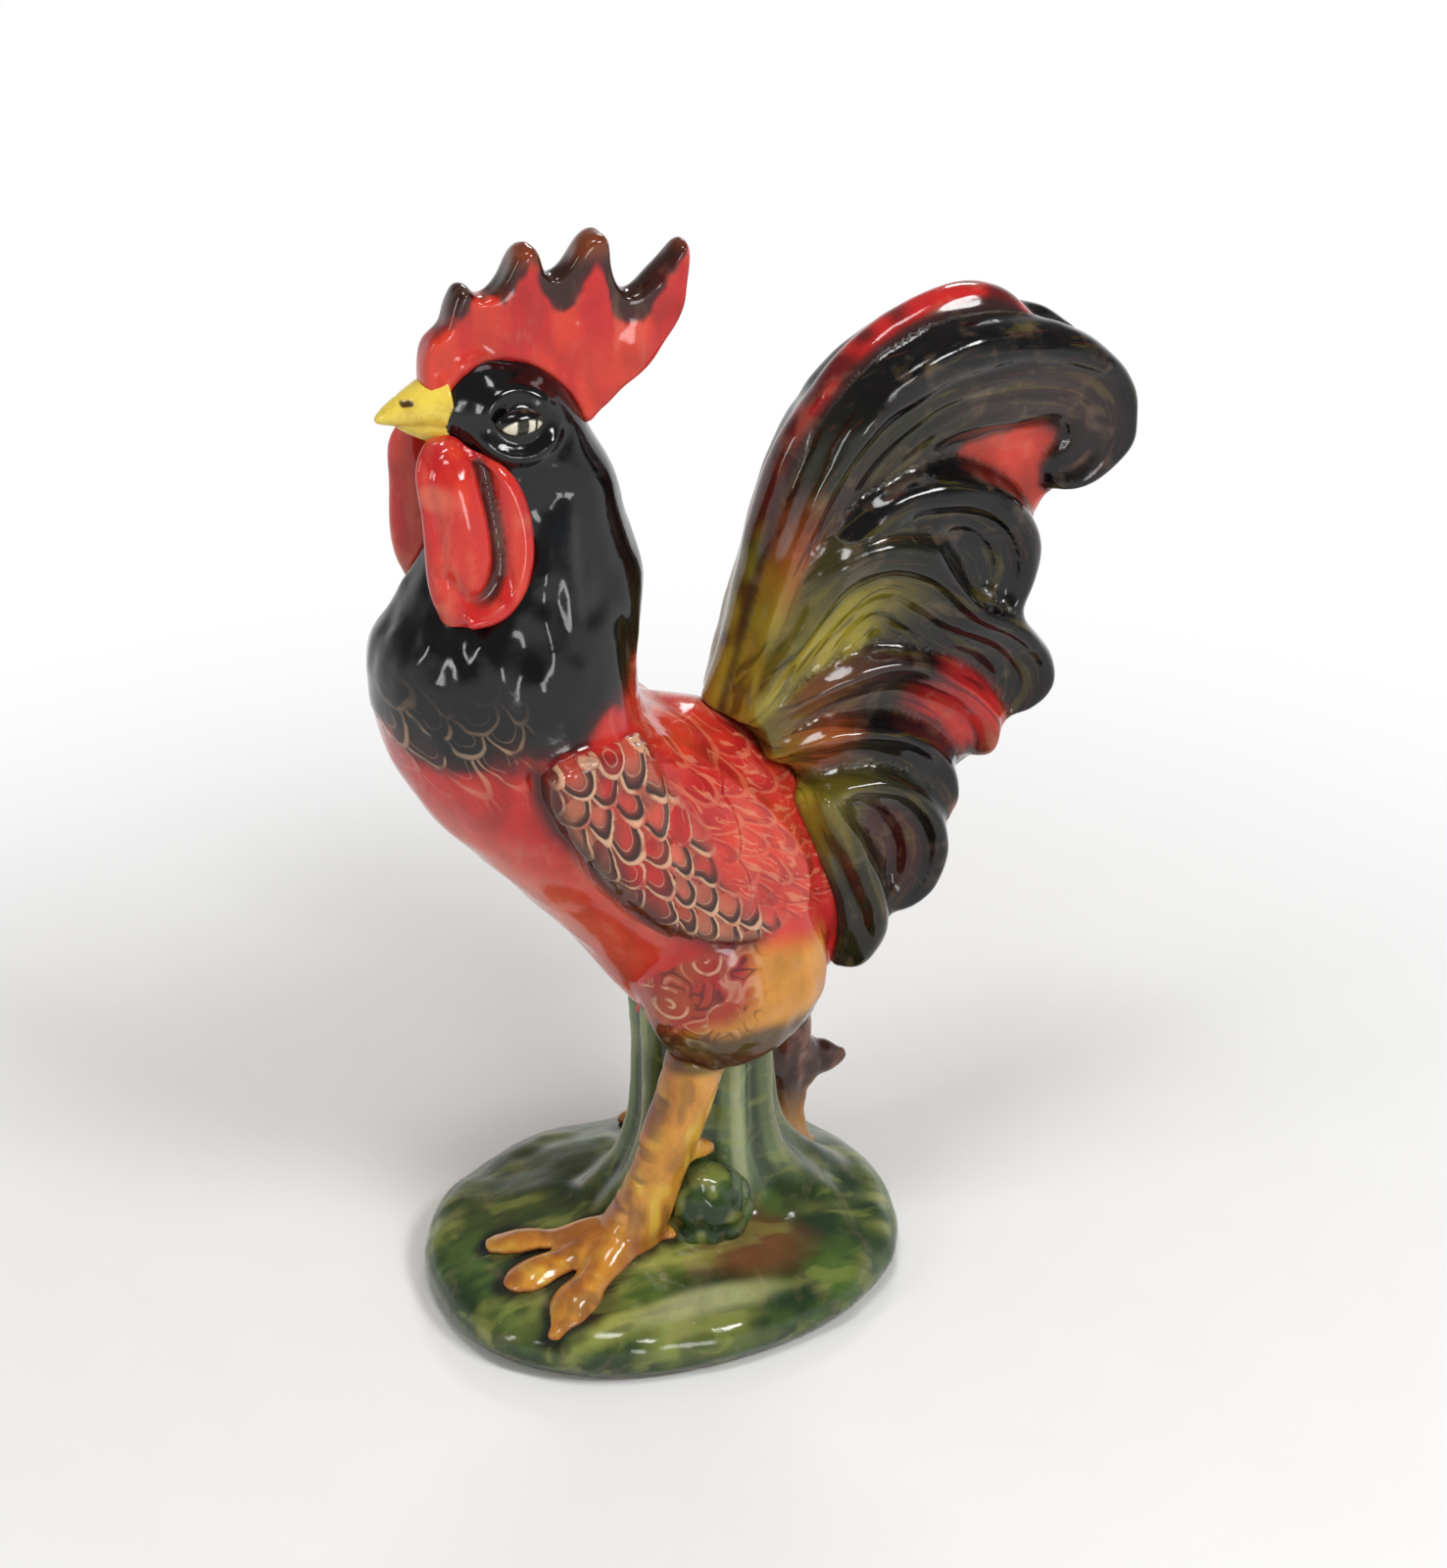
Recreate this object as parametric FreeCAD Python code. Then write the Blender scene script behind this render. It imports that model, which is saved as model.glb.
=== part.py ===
import FreeCAD, Part
import math
import os

# A standing cockerel in glazed earthenware. The bird faces -X and its left side is -Y.
# The origin is the centre of the flat underside of the base, and +Z is up.

# Clay and making
clay_wall = 4.5
overrun = 400.0

# Base mound
base_length = 134.0
base_width = 112.0
rim_height = 8.0
mound_height = 22.0
mound_neck_length = 47.0
mound_neck_width = 34.0
mound_neck_offset = 12.0
mound_neck_rise = 9.0
base_corner_power = 0.9
fuller_corner_share = 0.055
fuller_corner_angle = 225
drain_hole_diameter = 12.0
drain_hole_offset = 24.0

# Fluted column of grass under the belly
column_length = 40.0
column_width = 29.0
column_foot_length = 84.0
column_foot_width = 52.0
flute_depth = 1.5
flute_count = 9

# Boulder and tree stump
boulder_length = 23.0
boulder_width = 17.0
boulder_height = 25.0
boulder_x = 4.5
boulder_y = -21.0
stump_x = 39.0
stump_y = 14.0
stump_diameter = 19.0
stump_foot_diameter = 27.0
stump_sink = 4.0
branch_length = 22.5
branch_diameter = 19.0
branch_flatness = 0.72
branch_fall = 1.5
branch_drop = 34.0

# Legs
leg_height = 58.0
leg_spread = 22.0
shank_depth = 17.0
shank_width = 14.5
ankle_length = 21.0
ankle_width = 17.0
spur_length = 5.0
spur_thickness = 8.0
left_knee_x = 2.0
left_ankle_x = -18.0
right_knee_x = 14.0
right_ankle_x = 30.0

# Feet
toe_length = 36.0
hind_toe_length = 16.0
toe_width = 12.0
toe_drop = 9.5
hind_toe_drop = 5.0
ankle_pad_height = 9.0
left_ankle_y = 18.0
right_ankle_y = 25.0
right_foot_lift = 4.0

# Body
body_length = 130.0
body_height = 133.0
body_width = 76.0

# Thighs
thigh_length = 52.0
thigh_height = 56.0
thigh_width = 33.0
thigh_x = 2.0

# Neck and head
neck_depth = 42.0
neck_height = 41.0
neck_width = 44.0
head_length = 38.0
head_height = 20.0
head_width = 34.0

# Comb, beak, wattles and eyes
comb_length = 69.0
comb_height = 41.0
comb_thickness = 10.0
comb_edge_round = 1.4
beak_length = 17.0
beak_height = 15.0
beak_width = 17.0
wattle_length = 49.0
wattle_depth = 25.0
wattle_thickness = 12.0
wattle_spread = 15.0
eye_length = 12.0
eye_height = 6.5
eye_bulge = 3.0

# Wings
wing_length = 79.0
wing_height = 78.0
wing_relief = 2.6
covert_relief = 4.0
shoulder_relief = 5.2
scallop_depth = 3.2
covert_scallops = 5
shoulder_scallops = 4

# Tail
tail_length = 125.0
tail_height = 186.0
tail_core_thickness = 12.0
tail_core_edge_round = 4.0
sickle_thickness = 12.0
sickle_width = 32.0
second_feather_thickness = 14.0
second_feather_width = 27.0
hook_feather_thickness = 17.0
hook_feather_width = 37.0
ridge_feather_thickness = 15.0
ridge_feather_width = 18.0
rump_feather_thickness = 17.0
rump_feather_width = 18.0
curl_feather_thickness = 18.0
curl_feather_width = 23.0
covert_feather_thickness = 21.0
covert_feather_width = 23.0

# Heights and places that follow from the sizes above
neck_ahead_share = 0.27
head_ahead_share = 0.09
body_bottom = mound_height + leg_height
shoulder_z = body_bottom + body_height
head_z = shoulder_z + neck_height
neck_x = -neck_ahead_share * body_length
head_x = neck_x - head_ahead_share * neck_depth


def vector(x, y, z):
    return FreeCAD.Vector(x, y, z)


def closed_curve(points):
    """A smooth closed curve through the given points, evenly parted."""
    count = len(points)
    curve = Part.BSplineCurve()
    places = [index / count for index in range(count + 1)]
    curve.interpolate(Points=points, PeriodicFlag=True, Parameters=places)
    return curve


def loft(loops):
    """A smooth solid skinned over closed loops of points, each with as many points as the others."""
    rings = [closed_curve(points) for points in loops]
    ways = [0]
    for first, second in zip(loops, loops[1:]):
        gaps = [(b - a).Length for a, b in zip(first, second)]
        ways.append(ways[-1] + sum(gaps) / len(gaps))
    places = [way / ways[-1] for way in ways]
    columns = []
    for row in zip(*[ring.getPoles() for ring in rings]):
        line = Part.BSplineCurve()
        line.interpolate(Points=list(row), Parameters=places)
        columns.append(line)
    surface = Part.BSplineSurface()
    surface.buildFromPolesMultsKnots(
        [line.getPoles() for line in columns],
        rings[0].getMultiplicities(), columns[0].getMultiplicities(),
        rings[0].getKnots(), columns[0].getKnots(),
        True, False, rings[0].Degree, columns[0].Degree)
    faces = [surface.toShape()]
    for ring in (rings[0], rings[-1]):
        faces.append(Part.Face(Part.Wire([ring.toShape()])))
    shell = Part.Shell(faces)
    shell.sewShape()
    solid = Part.Solid(shell)
    if solid.Volume < 0:
        solid.reverse()
    return solid


def oval(centre, first, second, count=12):
    """A closed oval about a centre, with its two half axes given as vectors."""
    points = []
    for index in range(count):
        angle = 2 * math.pi * index / count
        points.append(centre + first * math.cos(angle) + second * math.sin(angle))
    return points


def level_oval(x, y, z, half_length, half_width, count=12):
    return oval(vector(x, y, z), vector(half_length, 0, 0), vector(0, half_width, 0), count)


def full_oval(x, z, half_length, half_width, count=20):
    """A level oval with fuller corners than an ellipse, the most at the bird's front left."""
    points = []
    for index in range(count):
        angle = 2 * math.pi * index / count
        along = math.copysign(abs(math.cos(angle)) ** base_corner_power, math.cos(angle))
        across = math.copysign(abs(math.sin(angle)) ** base_corner_power, math.sin(angle))
        toward = max(0, math.cos(angle - math.radians(fuller_corner_angle)))
        fuller = 1 + fuller_corner_share * toward ** 2
        points.append(vector(x + half_length * along * fuller, half_width * across * fuller, z))
    return points


def mirrored(shape):
    return shape.mirror(vector(0, 0, 0), vector(0, 1, 0))


def save(shape, name):
    solids = shape.Solids
    if len(solids) > 1:
        print("pieces", [round(solid.Volume) for solid in solids])
    if len(solids) > 1:
        solids = sorted(solids, key=lambda solid: solid.Volume)[-1:]
    shape = solids[0]
    shape.exportStep("parts/" + name + ".step")
    print(name, "valid" if shape.isValid() else "NOT VALID", round(shape.Volume), len(shape.Faces))
    return shape


# Base mound, column, boulder and stump

# Height, length, width and forward shift of each level of the mound, from the underside to the rim
rim_shares = [
    (0.00, 0.925, 0.915),
    (0.38, 0.985, 0.980),
    (1.00, 1.000, 1.000),
    (1.55, 0.960, 0.955),
]
# Share of the way from the rim to the neck of the mound, and share of the rise
slope_shares = [
    (0.26, 0.46),
    (0.52, 0.75),
    (0.80, 1.00),
    (1.00, 1.22),
]


def mound_levels(inset):
    """The ovals of the mound, drawn in and lowered by the inset."""
    levels = []
    for height, length, width in rim_shares:
        half_length = base_length * length / 2 - inset
        half_width = base_width * width / 2 - inset
        levels.append((0, rim_height * height - inset, half_length, half_width))
    last_height = rim_height * rim_shares[-1][0]
    last_length = base_length * rim_shares[-1][1] / 2
    last_width = base_width * rim_shares[-1][2] / 2
    for way, rise in slope_shares:
        half_length = last_length + (mound_neck_length / 2 - last_length) * way - inset
        half_width = last_width + (mound_neck_width / 2 - last_width) * way - inset
        height = last_height + (mound_height - last_height) * rise - inset
        levels.append((mound_neck_offset * way, height, half_length, half_width))
    top = mound_height + mound_neck_rise - inset
    levels.append((mound_neck_offset, top, mound_neck_length / 2 - inset, mound_neck_width / 2 - inset))
    return levels


def mound_form(inset):
    return loft([full_oval(x, z, length, width) for x, z, length, width in mound_levels(inset)])


def mound_cavity():
    """The hollow of the mound, above a floor as thick as the wall."""
    floor = Part.makeBox(overrun, overrun, overrun, vector(-overrun / 2, -overrun / 2, clay_wall - overrun))
    return mound_form(clay_wall).cut(floor)


def make_base_mound(outer, bore):
    place = vector(drain_hole_offset, 0, 0)
    drain = Part.makeCylinder(drain_hole_diameter / 2, rim_height + clay_wall, place)
    return outer.cut(mound_cavity()).cut(drain).cut(bore)


# Height share from the mound to the belly, and how far the section has drawn in from foot to shaft
column_shares = [
    (-0.08, 0.00),
    (0.02, 0.30),
    (0.13, 0.62),
    (0.27, 0.85),
    (0.42, 0.96),
    (0.62, 1.00),
    (0.86, 1.00),
    (1.30, 1.04),
]


def column_solid():
    """The fluted column, from under the mound's surface into the belly."""
    sections = []
    count = 6 * flute_count
    for height, drawn in column_shares:
        length = column_foot_length + (column_length - column_foot_length) * drawn
        width = column_foot_width + (column_width - column_foot_width) * drawn
        z = mound_height + leg_height * height
        points = []
        for index in range(count):
            angle = 2 * math.pi * index / count
            ripple = flute_depth * math.cos(flute_count * angle)
            x = mound_neck_offset + (length / 2 + ripple) * math.cos(angle)
            y = (width / 2 + ripple) * math.sin(angle)
            points.append(vector(x, y, z))
        sections.append(points)
    return loft(sections)


def column_bore():
    """The hollow of the column, long enough to open into the mound and the belly."""
    half_length = column_length / 2 - clay_wall - flute_depth
    half_width = column_width / 2 - clay_wall - flute_depth
    bottom = mound_height
    top = body_bottom + clay_wall + rim_height
    levels = (bottom, top)
    return loft([level_oval(mound_neck_offset, 0, z, half_length, half_width) for z in levels])


def make_column(mound, body, bore):
    return column_solid().cut(mound).cut(body).cut(bore)


def make_boulder(neighbours):
    ball = Part.makeSphere(1)
    shape = FreeCAD.Matrix()
    shape.scale(boulder_length / 2, boulder_width / 2, boulder_height / 2)
    boulder = ball.transformGeometry(shape)
    boulder.translate(vector(boulder_x, boulder_y, mound_height + boulder_height / 4))
    for neighbour in neighbours:
        boulder = boulder.cut(neighbour)
    return boulder


# Height share from the mound to the belly, and diameter as a share of the way from foot to trunk
stump_shares = [
    (0.00, 0.0),
    (0.16, 0.6),
    (0.36, 1.0),
    (0.70, 0.9),
    (1.35, 1.0),
]
trunk_width_share = 0.9
# Share of the way along the branch stub, and its thickness share
branch_shares = [
    (0.00, 1.00),
    (0.50, 0.86),
    (0.80, 0.48),
    (1.00, 0.20),
]


def make_stump(neighbours):
    """The trunk behind the column, with the stub of a broken branch."""
    sections = []
    for height, drawn in stump_shares:
        radius = (stump_foot_diameter + (stump_diameter - stump_foot_diameter) * drawn) / 2
        z = mound_height - stump_sink - rim_height + (leg_height + stump_sink) * height
        sections.append(level_oval(stump_x, stump_y, z, radius, radius * trunk_width_share))
    trunk = loft(sections)
    start = vector(stump_x, stump_y, body_bottom - branch_drop)
    reach = vector(branch_length, 0, -branch_fall)
    rings = []
    for way, thick in branch_shares:
        radius = branch_diameter * thick / 2
        across = vector(0, radius * branch_flatness, 0)
        rings.append(oval(start + reach * way, across, vector(0, 0, radius)))
    stump = trunk.fuse(loft(rings))
    for neighbour in neighbours:
        stump = stump.cut(neighbour)
    return stump


# Body, neck and head

# Lower or front point, upper or back point, half width: shares of body length, height and width
torso_shares = [
    (0.405, 0.13, 0.420, 0.22, 0.05),
    (0.380, 0.06, 0.412, 0.30, 0.14),
    (0.290, 0.02, 0.365, 0.40, 0.25),
    (0.120, -0.02, 0.250, 0.56, 0.38),
    (-0.058, 0.04, 0.125, 0.67, 0.45),
    (-0.210, 0.24, 0.015, 0.70, 0.49),
    (-0.380, 0.43, -0.055, 0.75, 0.50),
    (-0.510, 0.59, -0.070, 0.835, 0.49),
    (-0.575, 0.75, -0.058, 0.92, 0.45),
    (-0.578, 0.90, -0.046, 1.00, 0.395),
]
# The same for the neck, in shares of its own depth, height and width from the shoulder
neck_shares = [
    (-0.79, -0.05, 0.67, 0.20, 0.58),
    (-0.60, 0.27, 0.60, 0.44, 0.49),
    (-0.50, 0.56, 0.50, 0.68, 0.43),
    (-0.49, 0.80, 0.405, 0.90, 0.40),
]
# The same for the head, from the top of the neck
head_shares = [
    (-0.47, 0.05, 0.50, 0.15, 0.50),
    (-0.50, 0.40, 0.42, 0.45, 0.48),
    (-0.42, 0.75, 0.29, 0.70, 0.36),
    (-0.32, 0.93, 0.16, 0.89, 0.22),
    (-0.20, 1.00, 0.03, 0.98, 0.08),
]
# The first and last sections that the hollow runs through
hollow_first_station = 2
hollow_last_station = 16


def bird_stations():
    """Front point, back point and half width of every section from rump to crown."""
    stations = []
    for x1, z1, x2, z2, half in torso_shares:
        front = vector(body_length * x1, 0, body_bottom + body_height * z1)
        back = vector(body_length * x2, 0, body_bottom + body_height * z2)
        stations.append((front, back, body_width * half))
    for x1, z1, x2, z2, half in neck_shares:
        front = vector(neck_x + neck_depth * x1, 0, shoulder_z + neck_height * z1)
        back = vector(neck_x + neck_depth * x2, 0, shoulder_z + neck_height * z2)
        stations.append((front, back, neck_width * half))
    for x1, z1, x2, z2, half in head_shares:
        front = vector(head_x + head_length * x1, 0, head_z + head_height * z1)
        back = vector(head_x + head_length * x2, 0, head_z + head_height * z2)
        stations.append((front, back, head_width * half))
    return stations


def bird_section(front, back, half_width, inset):
    middle = (front + back) * 0.5
    half = (back - front) * 0.5
    drawn = half * ((half.Length - inset) / half.Length)
    return oval(middle, drawn, vector(0, half_width - inset, 0))


def half_space(front, back):
    """A block with its underside through the two points and across the bird."""
    along = (back - front).normalize()
    up = along.cross(vector(0, 1, 0)).normalize()
    if up.z < 0:
        up = up * -1
    block = Part.makeBox(overrun, overrun, overrun, vector(-overrun / 2, -overrun / 2, 0))
    block.Placement = FreeCAD.Placement((front + back) * 0.5, FreeCAD.Rotation(vector(0, 0, 1), up))
    return block


def above_station(index):
    front, back, half_width = bird_stations()[index]
    return half_space(front, back)


shoulder_station = len(torso_shares) - 1
throat_station = shoulder_station + len(neck_shares)


def bird_solid(inset):
    """The body, neck and head in one smooth form, drawn in by the inset or grown if it is negative."""
    return loft([bird_section(front, back, half, inset) for front, back, half in bird_stations()])


def bird_cavity():
    """The hollow of the body, neck and head, which ends where the form grows too thin for it."""
    stations = bird_stations()[hollow_first_station:hollow_last_station]
    return loft([bird_section(front, back, half, clay_wall) for front, back, half in stations])


def make_body_shells(body):
    """The hollow torso, neck and head, parted along two of the sections."""
    shell = body.cut(bird_cavity())
    above_shoulder = above_station(shoulder_station)
    above_throat = above_station(throat_station)
    torso = shell.cut(above_shoulder)
    neck = shell.common(above_shoulder).cut(above_throat)
    head = shell.common(above_throat)
    return torso, neck, head


# Thighs, legs and feet

# Place along the thigh, height, half length, half width and share of the spread, from the knee upward
thigh_shares = [
    (0.10, -0.070, 0.17, 0.20, 1.00),
    (0.16, 0.000, 0.31, 0.31, 1.00),
    (0.19, 0.120, 0.42, 0.42, 1.00),
    (0.19, 0.280, 0.48, 0.49, 1.02),
    (0.20, 0.480, 0.49, 0.49, 1.00),
    (0.15, 0.740, 0.44, 0.38, 0.90),
    (0.08, 0.980, 0.30, 0.20, 0.74),
]


def make_left_thigh(body):
    sections = []
    for ahead, height, length, width, spread in thigh_shares:
        x = thigh_x + thigh_length * ahead
        y = -leg_spread * spread
        z = body_bottom + thigh_height * height
        sections.append(level_oval(x, y, z, thigh_length * length, thigh_width * width))
    return loft(sections).cut(body)


# Share of the way from the knee to the ankle, share of the fall, and how far the section has grown
shank_shares = [
    (0.00, 0.00, 0.00),
    (0.14, 0.18, 0.00),
    (0.30, 0.36, 0.00),
    (0.45, 0.54, -0.15),
    (0.60, 0.69, -0.15),
    (0.80, 0.85, 0.40),
    (1.00, 1.02, 1.00),
    (1.05, 1.16, 1.10),
]


def shank_point(knee_x, ankle, side, way, fall):
    x = knee_x + (ankle.x - knee_x) * way
    y = side * leg_spread + (ankle.y - side * leg_spread) * way
    return vector(x, y, body_bottom - leg_height * fall)


def shank_solid(knee_x, ankle, side):
    sections = []
    for way, fall, grown in shank_shares:
        centre = shank_point(knee_x, ankle, side, way, fall)
        half_depth = (shank_depth + (ankle_length - shank_depth) * grown) / 2
        half_width = (shank_width + (ankle_width - shank_width) * grown) / 2
        sections.append(level_oval(centre.x, centre.y, centre.z, half_depth, half_width))
    return loft(sections)


# Place of the spur's root on the shank, then way along the spur and its thickness share
spur_way_share = 0.42
spur_fall_share = 0.54
spur_shares = [
    (0.0, 1.00),
    (0.6, 0.85),
    (1.0, 0.35),
]


def spur_solid(knee_x, ankle, side):
    """The short spur on the back of the shank."""
    root = shank_point(knee_x, ankle, side, spur_way_share, spur_fall_share)
    reach = vector(shank_depth / 2 + spur_length, 0, -spur_thickness / 4)
    rings = []
    for way, thick in spur_shares:
        radius = spur_thickness * thick / 2
        rings.append(oval(root + reach * way, vector(0, radius, 0), vector(0, 0, radius)))
    return loft(rings)


def make_leg(knee_x, ankle, side, neighbours):
    leg = shank_solid(knee_x, ankle, side).fuse(spur_solid(knee_x, ankle, side))
    for neighbour in neighbours:
        leg = leg.cut(neighbour)
    return leg


# Direction of each toe in degrees from straight ahead toward the outside, and its length share
left_toes = [(39, 1.00), (3, 1.05), (-27, 1.22)]
right_toes = [(62, 0.72), (34, 0.84), (8, 0.76)]
left_hind_angle = 174
right_hind_angle = 150
ankle_top_share = 0.8
# Place along a toe, thickness share and drop share
toe_shares = [
    (0.00, 0.90, 0.00),
    (0.30, 1.00, 0.25),
    (0.48, 0.84, 0.45),
    (0.68, 1.05, 0.66),
    (0.88, 0.95, 0.88),
    (1.00, 0.50, 1.00),
]


def toe_solid(start, angle, length, fall, side):
    """A jointed toe that follows the slope of the mound."""
    turn = math.radians(angle)
    ahead = vector(-math.cos(turn), side * math.sin(turn), 0)
    across = vector(ahead.y, -ahead.x, 0)
    rings = []
    for way, thick, drop in toe_shares:
        centre = start + ahead * (length * way)
        centre = centre - vector(0, 0, fall * drop)
        half_height = vector(0, 0, toe_width * thick / 2)
        rings.append(oval(centre, across * (toe_width * thick / 2), half_height))
    tip = start + ahead * (length + toe_width / 4)
    tip = tip - vector(0, 0, fall)
    rings.append(oval(tip, across * (toe_width / 8), vector(0, 0, toe_width / 8)))
    return loft(rings)


def make_foot(ankle, side, toes, hind_angle, neighbours):
    """Three front toes and a hind toe that meet in the pad under the ankle."""
    half_length = ankle_length / 2
    half_width = ankle_width / 2
    pad = level_oval(ankle.x, ankle.y, ankle.z - ankle_pad_height, half_length, half_width)
    half_length = half_length * ankle_top_share
    half_width = half_width * ankle_top_share
    top = level_oval(ankle.x, ankle.y, ankle.z + ankle_pad_height / 2, half_length, half_width)
    foot = loft([pad, top])
    foot = foot.fuse(toe_solid(ankle, hind_angle, hind_toe_length, hind_toe_drop, side))
    for angle, share in toes:
        foot = foot.fuse(toe_solid(ankle, angle, toe_length * share, toe_drop * share, side))
    for neighbour in neighbours:
        foot = foot.cut(neighbour)
    return foot


# Head furniture

# Outline of the comb, as shares of its length and height from its lower front corner
comb_outline_shares = [
    (0.00, 0.26),
    (0.00, 0.42),
    (0.03, 0.53),
    (0.08, 0.58),
    (0.11, 0.68),
    (0.15, 0.80),
    (0.19, 0.77),
    (0.24, 0.75),
    (0.29, 0.83),
    (0.34, 0.95),
    (0.39, 1.00),
    (0.43, 0.96),
    (0.455, 0.84),
    (0.50, 0.84),
    (0.55, 0.93),
    (0.61, 1.02),
    (0.67, 1.04),
    (0.70, 0.95),
    (0.715, 0.76),
    (0.76, 0.67),
    (0.82, 0.70),
    (0.88, 0.79),
    (0.935, 0.90),
    (0.975, 0.94),
    (1.00, 0.86),
    (0.99, 0.66),
    (0.94, 0.42),
    (0.84, 0.22),
    (0.72, 0.06),
    (0.56, -0.10),
    (0.30, -0.05),
    (0.10, 0.05),
]


def drawn_in(points, inset):
    """The closed outline moved inward by the inset, point by point."""
    area = 0
    count = len(points)
    for index in range(count):
        x1, z1 = points[index]
        x2, z2 = points[(index + 1) % count]
        area += x1 * z2 - x2 * z1
    turn = 1 if area > 0 else -1
    moved = []
    for index in range(count):
        before = points[index - 1]
        after = points[(index + 1) % count]
        along_x = after[0] - before[0]
        along_z = after[1] - before[1]
        size = math.hypot(along_x, along_z)
        x, z = points[index]
        moved.append((x - turn * along_z / size * inset, z + turn * along_x / size * inset))
    return moved


# Place through the thickness and share of the edge rounding at that place
round_shares = [
    (-1.00, 1.00),
    (-0.72, 0.30),
    (0.00, 0.00),
    (0.72, 0.30),
    (1.00, 1.00),
]


def rounded_plate(outline, thickness, edge_round):
    """A plate across the bird's middle plane, with a closed outline and rounded edges."""
    sections = []
    for place, share in round_shares:
        points = drawn_in(outline, edge_round * share)
        y = place * thickness / 2
        sections.append([vector(x, y, z) for x, z in points])
    return loft(sections)


comb_ahead_share = 0.56
comb_rise_share = 0.2


def make_comb(body):
    start_x = head_x - head_length * comb_ahead_share
    start_z = head_z + head_height * comb_rise_share
    outline = [(start_x + comb_length * x, start_z + comb_height * z) for x, z in comb_outline_shares]
    blade = rounded_plate(outline, comb_thickness, comb_edge_round)
    return blade.cut(body)


# Place along the beak, height of the middle, half height and half width, from the root
upper_beak_shares = [
    (0.00, 0.62, 0.56, 0.50),
    (0.38, 0.60, 0.36, 0.38),
    (0.70, 0.52, 0.22, 0.24),
    (0.90, 0.46, 0.12, 0.13),
    (1.00, 0.42, 0.04, 0.05),
]
lower_beak_shares = [
    (0.00, 0.20, 0.34, 0.42),
    (0.34, 0.24, 0.22, 0.30),
    (0.60, 0.30, 0.12, 0.15),
    (0.74, 0.36, 0.05, 0.05),
]


beak_ahead_share = 0.42


def beak_half(shares):
    start_x = head_x - head_length * beak_ahead_share
    start_z = head_z
    sections = []
    for way, middle, half_height, half_width in shares:
        centre = vector(start_x - beak_length * way, 0, start_z + beak_height * middle)
        up = vector(0, 0, beak_height * half_height)
        sections.append(oval(centre, up, vector(0, beak_width * half_width, 0)))
    return loft(sections)


def make_beak(body, comb):
    upper = beak_half(upper_beak_shares)
    lower = beak_half(lower_beak_shares).cut(upper)
    return upper.cut(body).cut(comb), lower.cut(body)


# Drop, middle along the bird, half depth, half thickness and share of the spread
wattle_shares = [
    (0.02, -0.30, 0.12, 0.20, 0.60),
    (0.14, -0.25, 0.32, 0.36, 0.74),
    (0.36, -0.10, 0.47, 0.47, 0.92),
    (0.58, -0.07, 0.50, 0.50, 1.02),
    (0.78, -0.10, 0.44, 0.47, 1.05),
    (0.92, -0.12, 0.30, 0.34, 1.05),
    (0.98, -0.12, 0.16, 0.18, 1.05),
    (1.00, -0.12, 0.04, 0.04, 1.05),
]


wattle_ahead_share = 0.32
wattle_rise_share = 0.2


def make_wattle(side, body, beak):
    """A hanging lobe at the side of the throat."""
    middle_x = head_x - head_length * wattle_ahead_share
    top_z = head_z + head_height * wattle_rise_share
    sections = []
    for drop, ahead, depth, thick, spread in wattle_shares:
        x = middle_x + wattle_depth * ahead
        y = side * wattle_spread * spread
        z = top_z - wattle_length * drop
        sections.append(level_oval(x, y, z, wattle_depth * depth, wattle_thickness * thick))
    lobe = loft(sections).cut(body)
    for piece in beak:
        lobe = lobe.cut(piece)
    return lobe


eye_ahead_share = 0.05
eye_rise_share = 0.36
eye_sink_share = 0.33


def make_eye(side, body):
    ball = Part.makeSphere(1)
    shape = FreeCAD.Matrix()
    shape.scale(eye_length / 2, eye_bulge, eye_height / 2)
    eye = ball.transformGeometry(shape)
    eye_x = head_x - head_length * eye_ahead_share
    eye_y = side * (head_width / 2 - eye_bulge * eye_sink_share)
    eye.translate(vector(eye_x, eye_y, head_z + head_height * eye_rise_share))
    return eye.cut(body)


# Wings

# Outline of a wing, as shares of its length and height from its lower front corner
wing_outline_shares = [
    (0.02, 0.82),
    (0.10, 0.88),
    (0.25, 0.89),
    (0.42, 0.86),
    (0.56, 0.78),
    (0.70, 0.66),
    (0.84, 0.52),
    (0.95, 0.38),
    (1.00, 0.20),
    (0.95, 0.02),
    (0.84, 0.02),
    (0.70, 0.08),
    (0.57, 0.13),
    (0.43, 0.18),
    (0.30, 0.28),
    (0.18, 0.43),
    (0.11, 0.56),
    (0.06, 0.71),
]
wing_start_x_share = -0.355
wing_start_z_share = 0.235
# Ends of the scalloped borders of the two upper rows of feathers
covert_border_shares = ((0.60, 1.05), (0.72, -0.02))
shoulder_border_shares = ((0.36, 1.10), (0.40, 0.08))


def wing_place(x_share, z_share, y):
    x = body_length * wing_start_x_share + wing_length * x_share
    z = body_bottom + body_height * wing_start_z_share + wing_height * z_share
    return vector(x, y, z)


def scalloped_block(border, count):
    """A block ahead of a scalloped border, deep enough to cross the whole wing."""
    top = wing_place(border[0][0], border[0][1], 0)
    bottom = wing_place(border[1][0], border[1][1], 0)
    step = (bottom - top) * (1 / count)
    out = vector(-step.z, 0, step.x).normalize() * scallop_depth
    edges = []
    for index in range(count):
        start = top + step * index
        middle = start + step * 0.5 + out
        edges.append(Part.Arc(start, middle, start + step).toShape())
    ahead = vector(-wing_length, 0, 0)
    edges.append(Part.makeLine(bottom, bottom + ahead))
    edges.append(Part.makeLine(bottom + ahead, top + ahead))
    edges.append(Part.makeLine(top + ahead, top))
    face = Part.Face(Part.Wire(edges))
    return face.extrude(vector(0, -body_width, 0))


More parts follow.
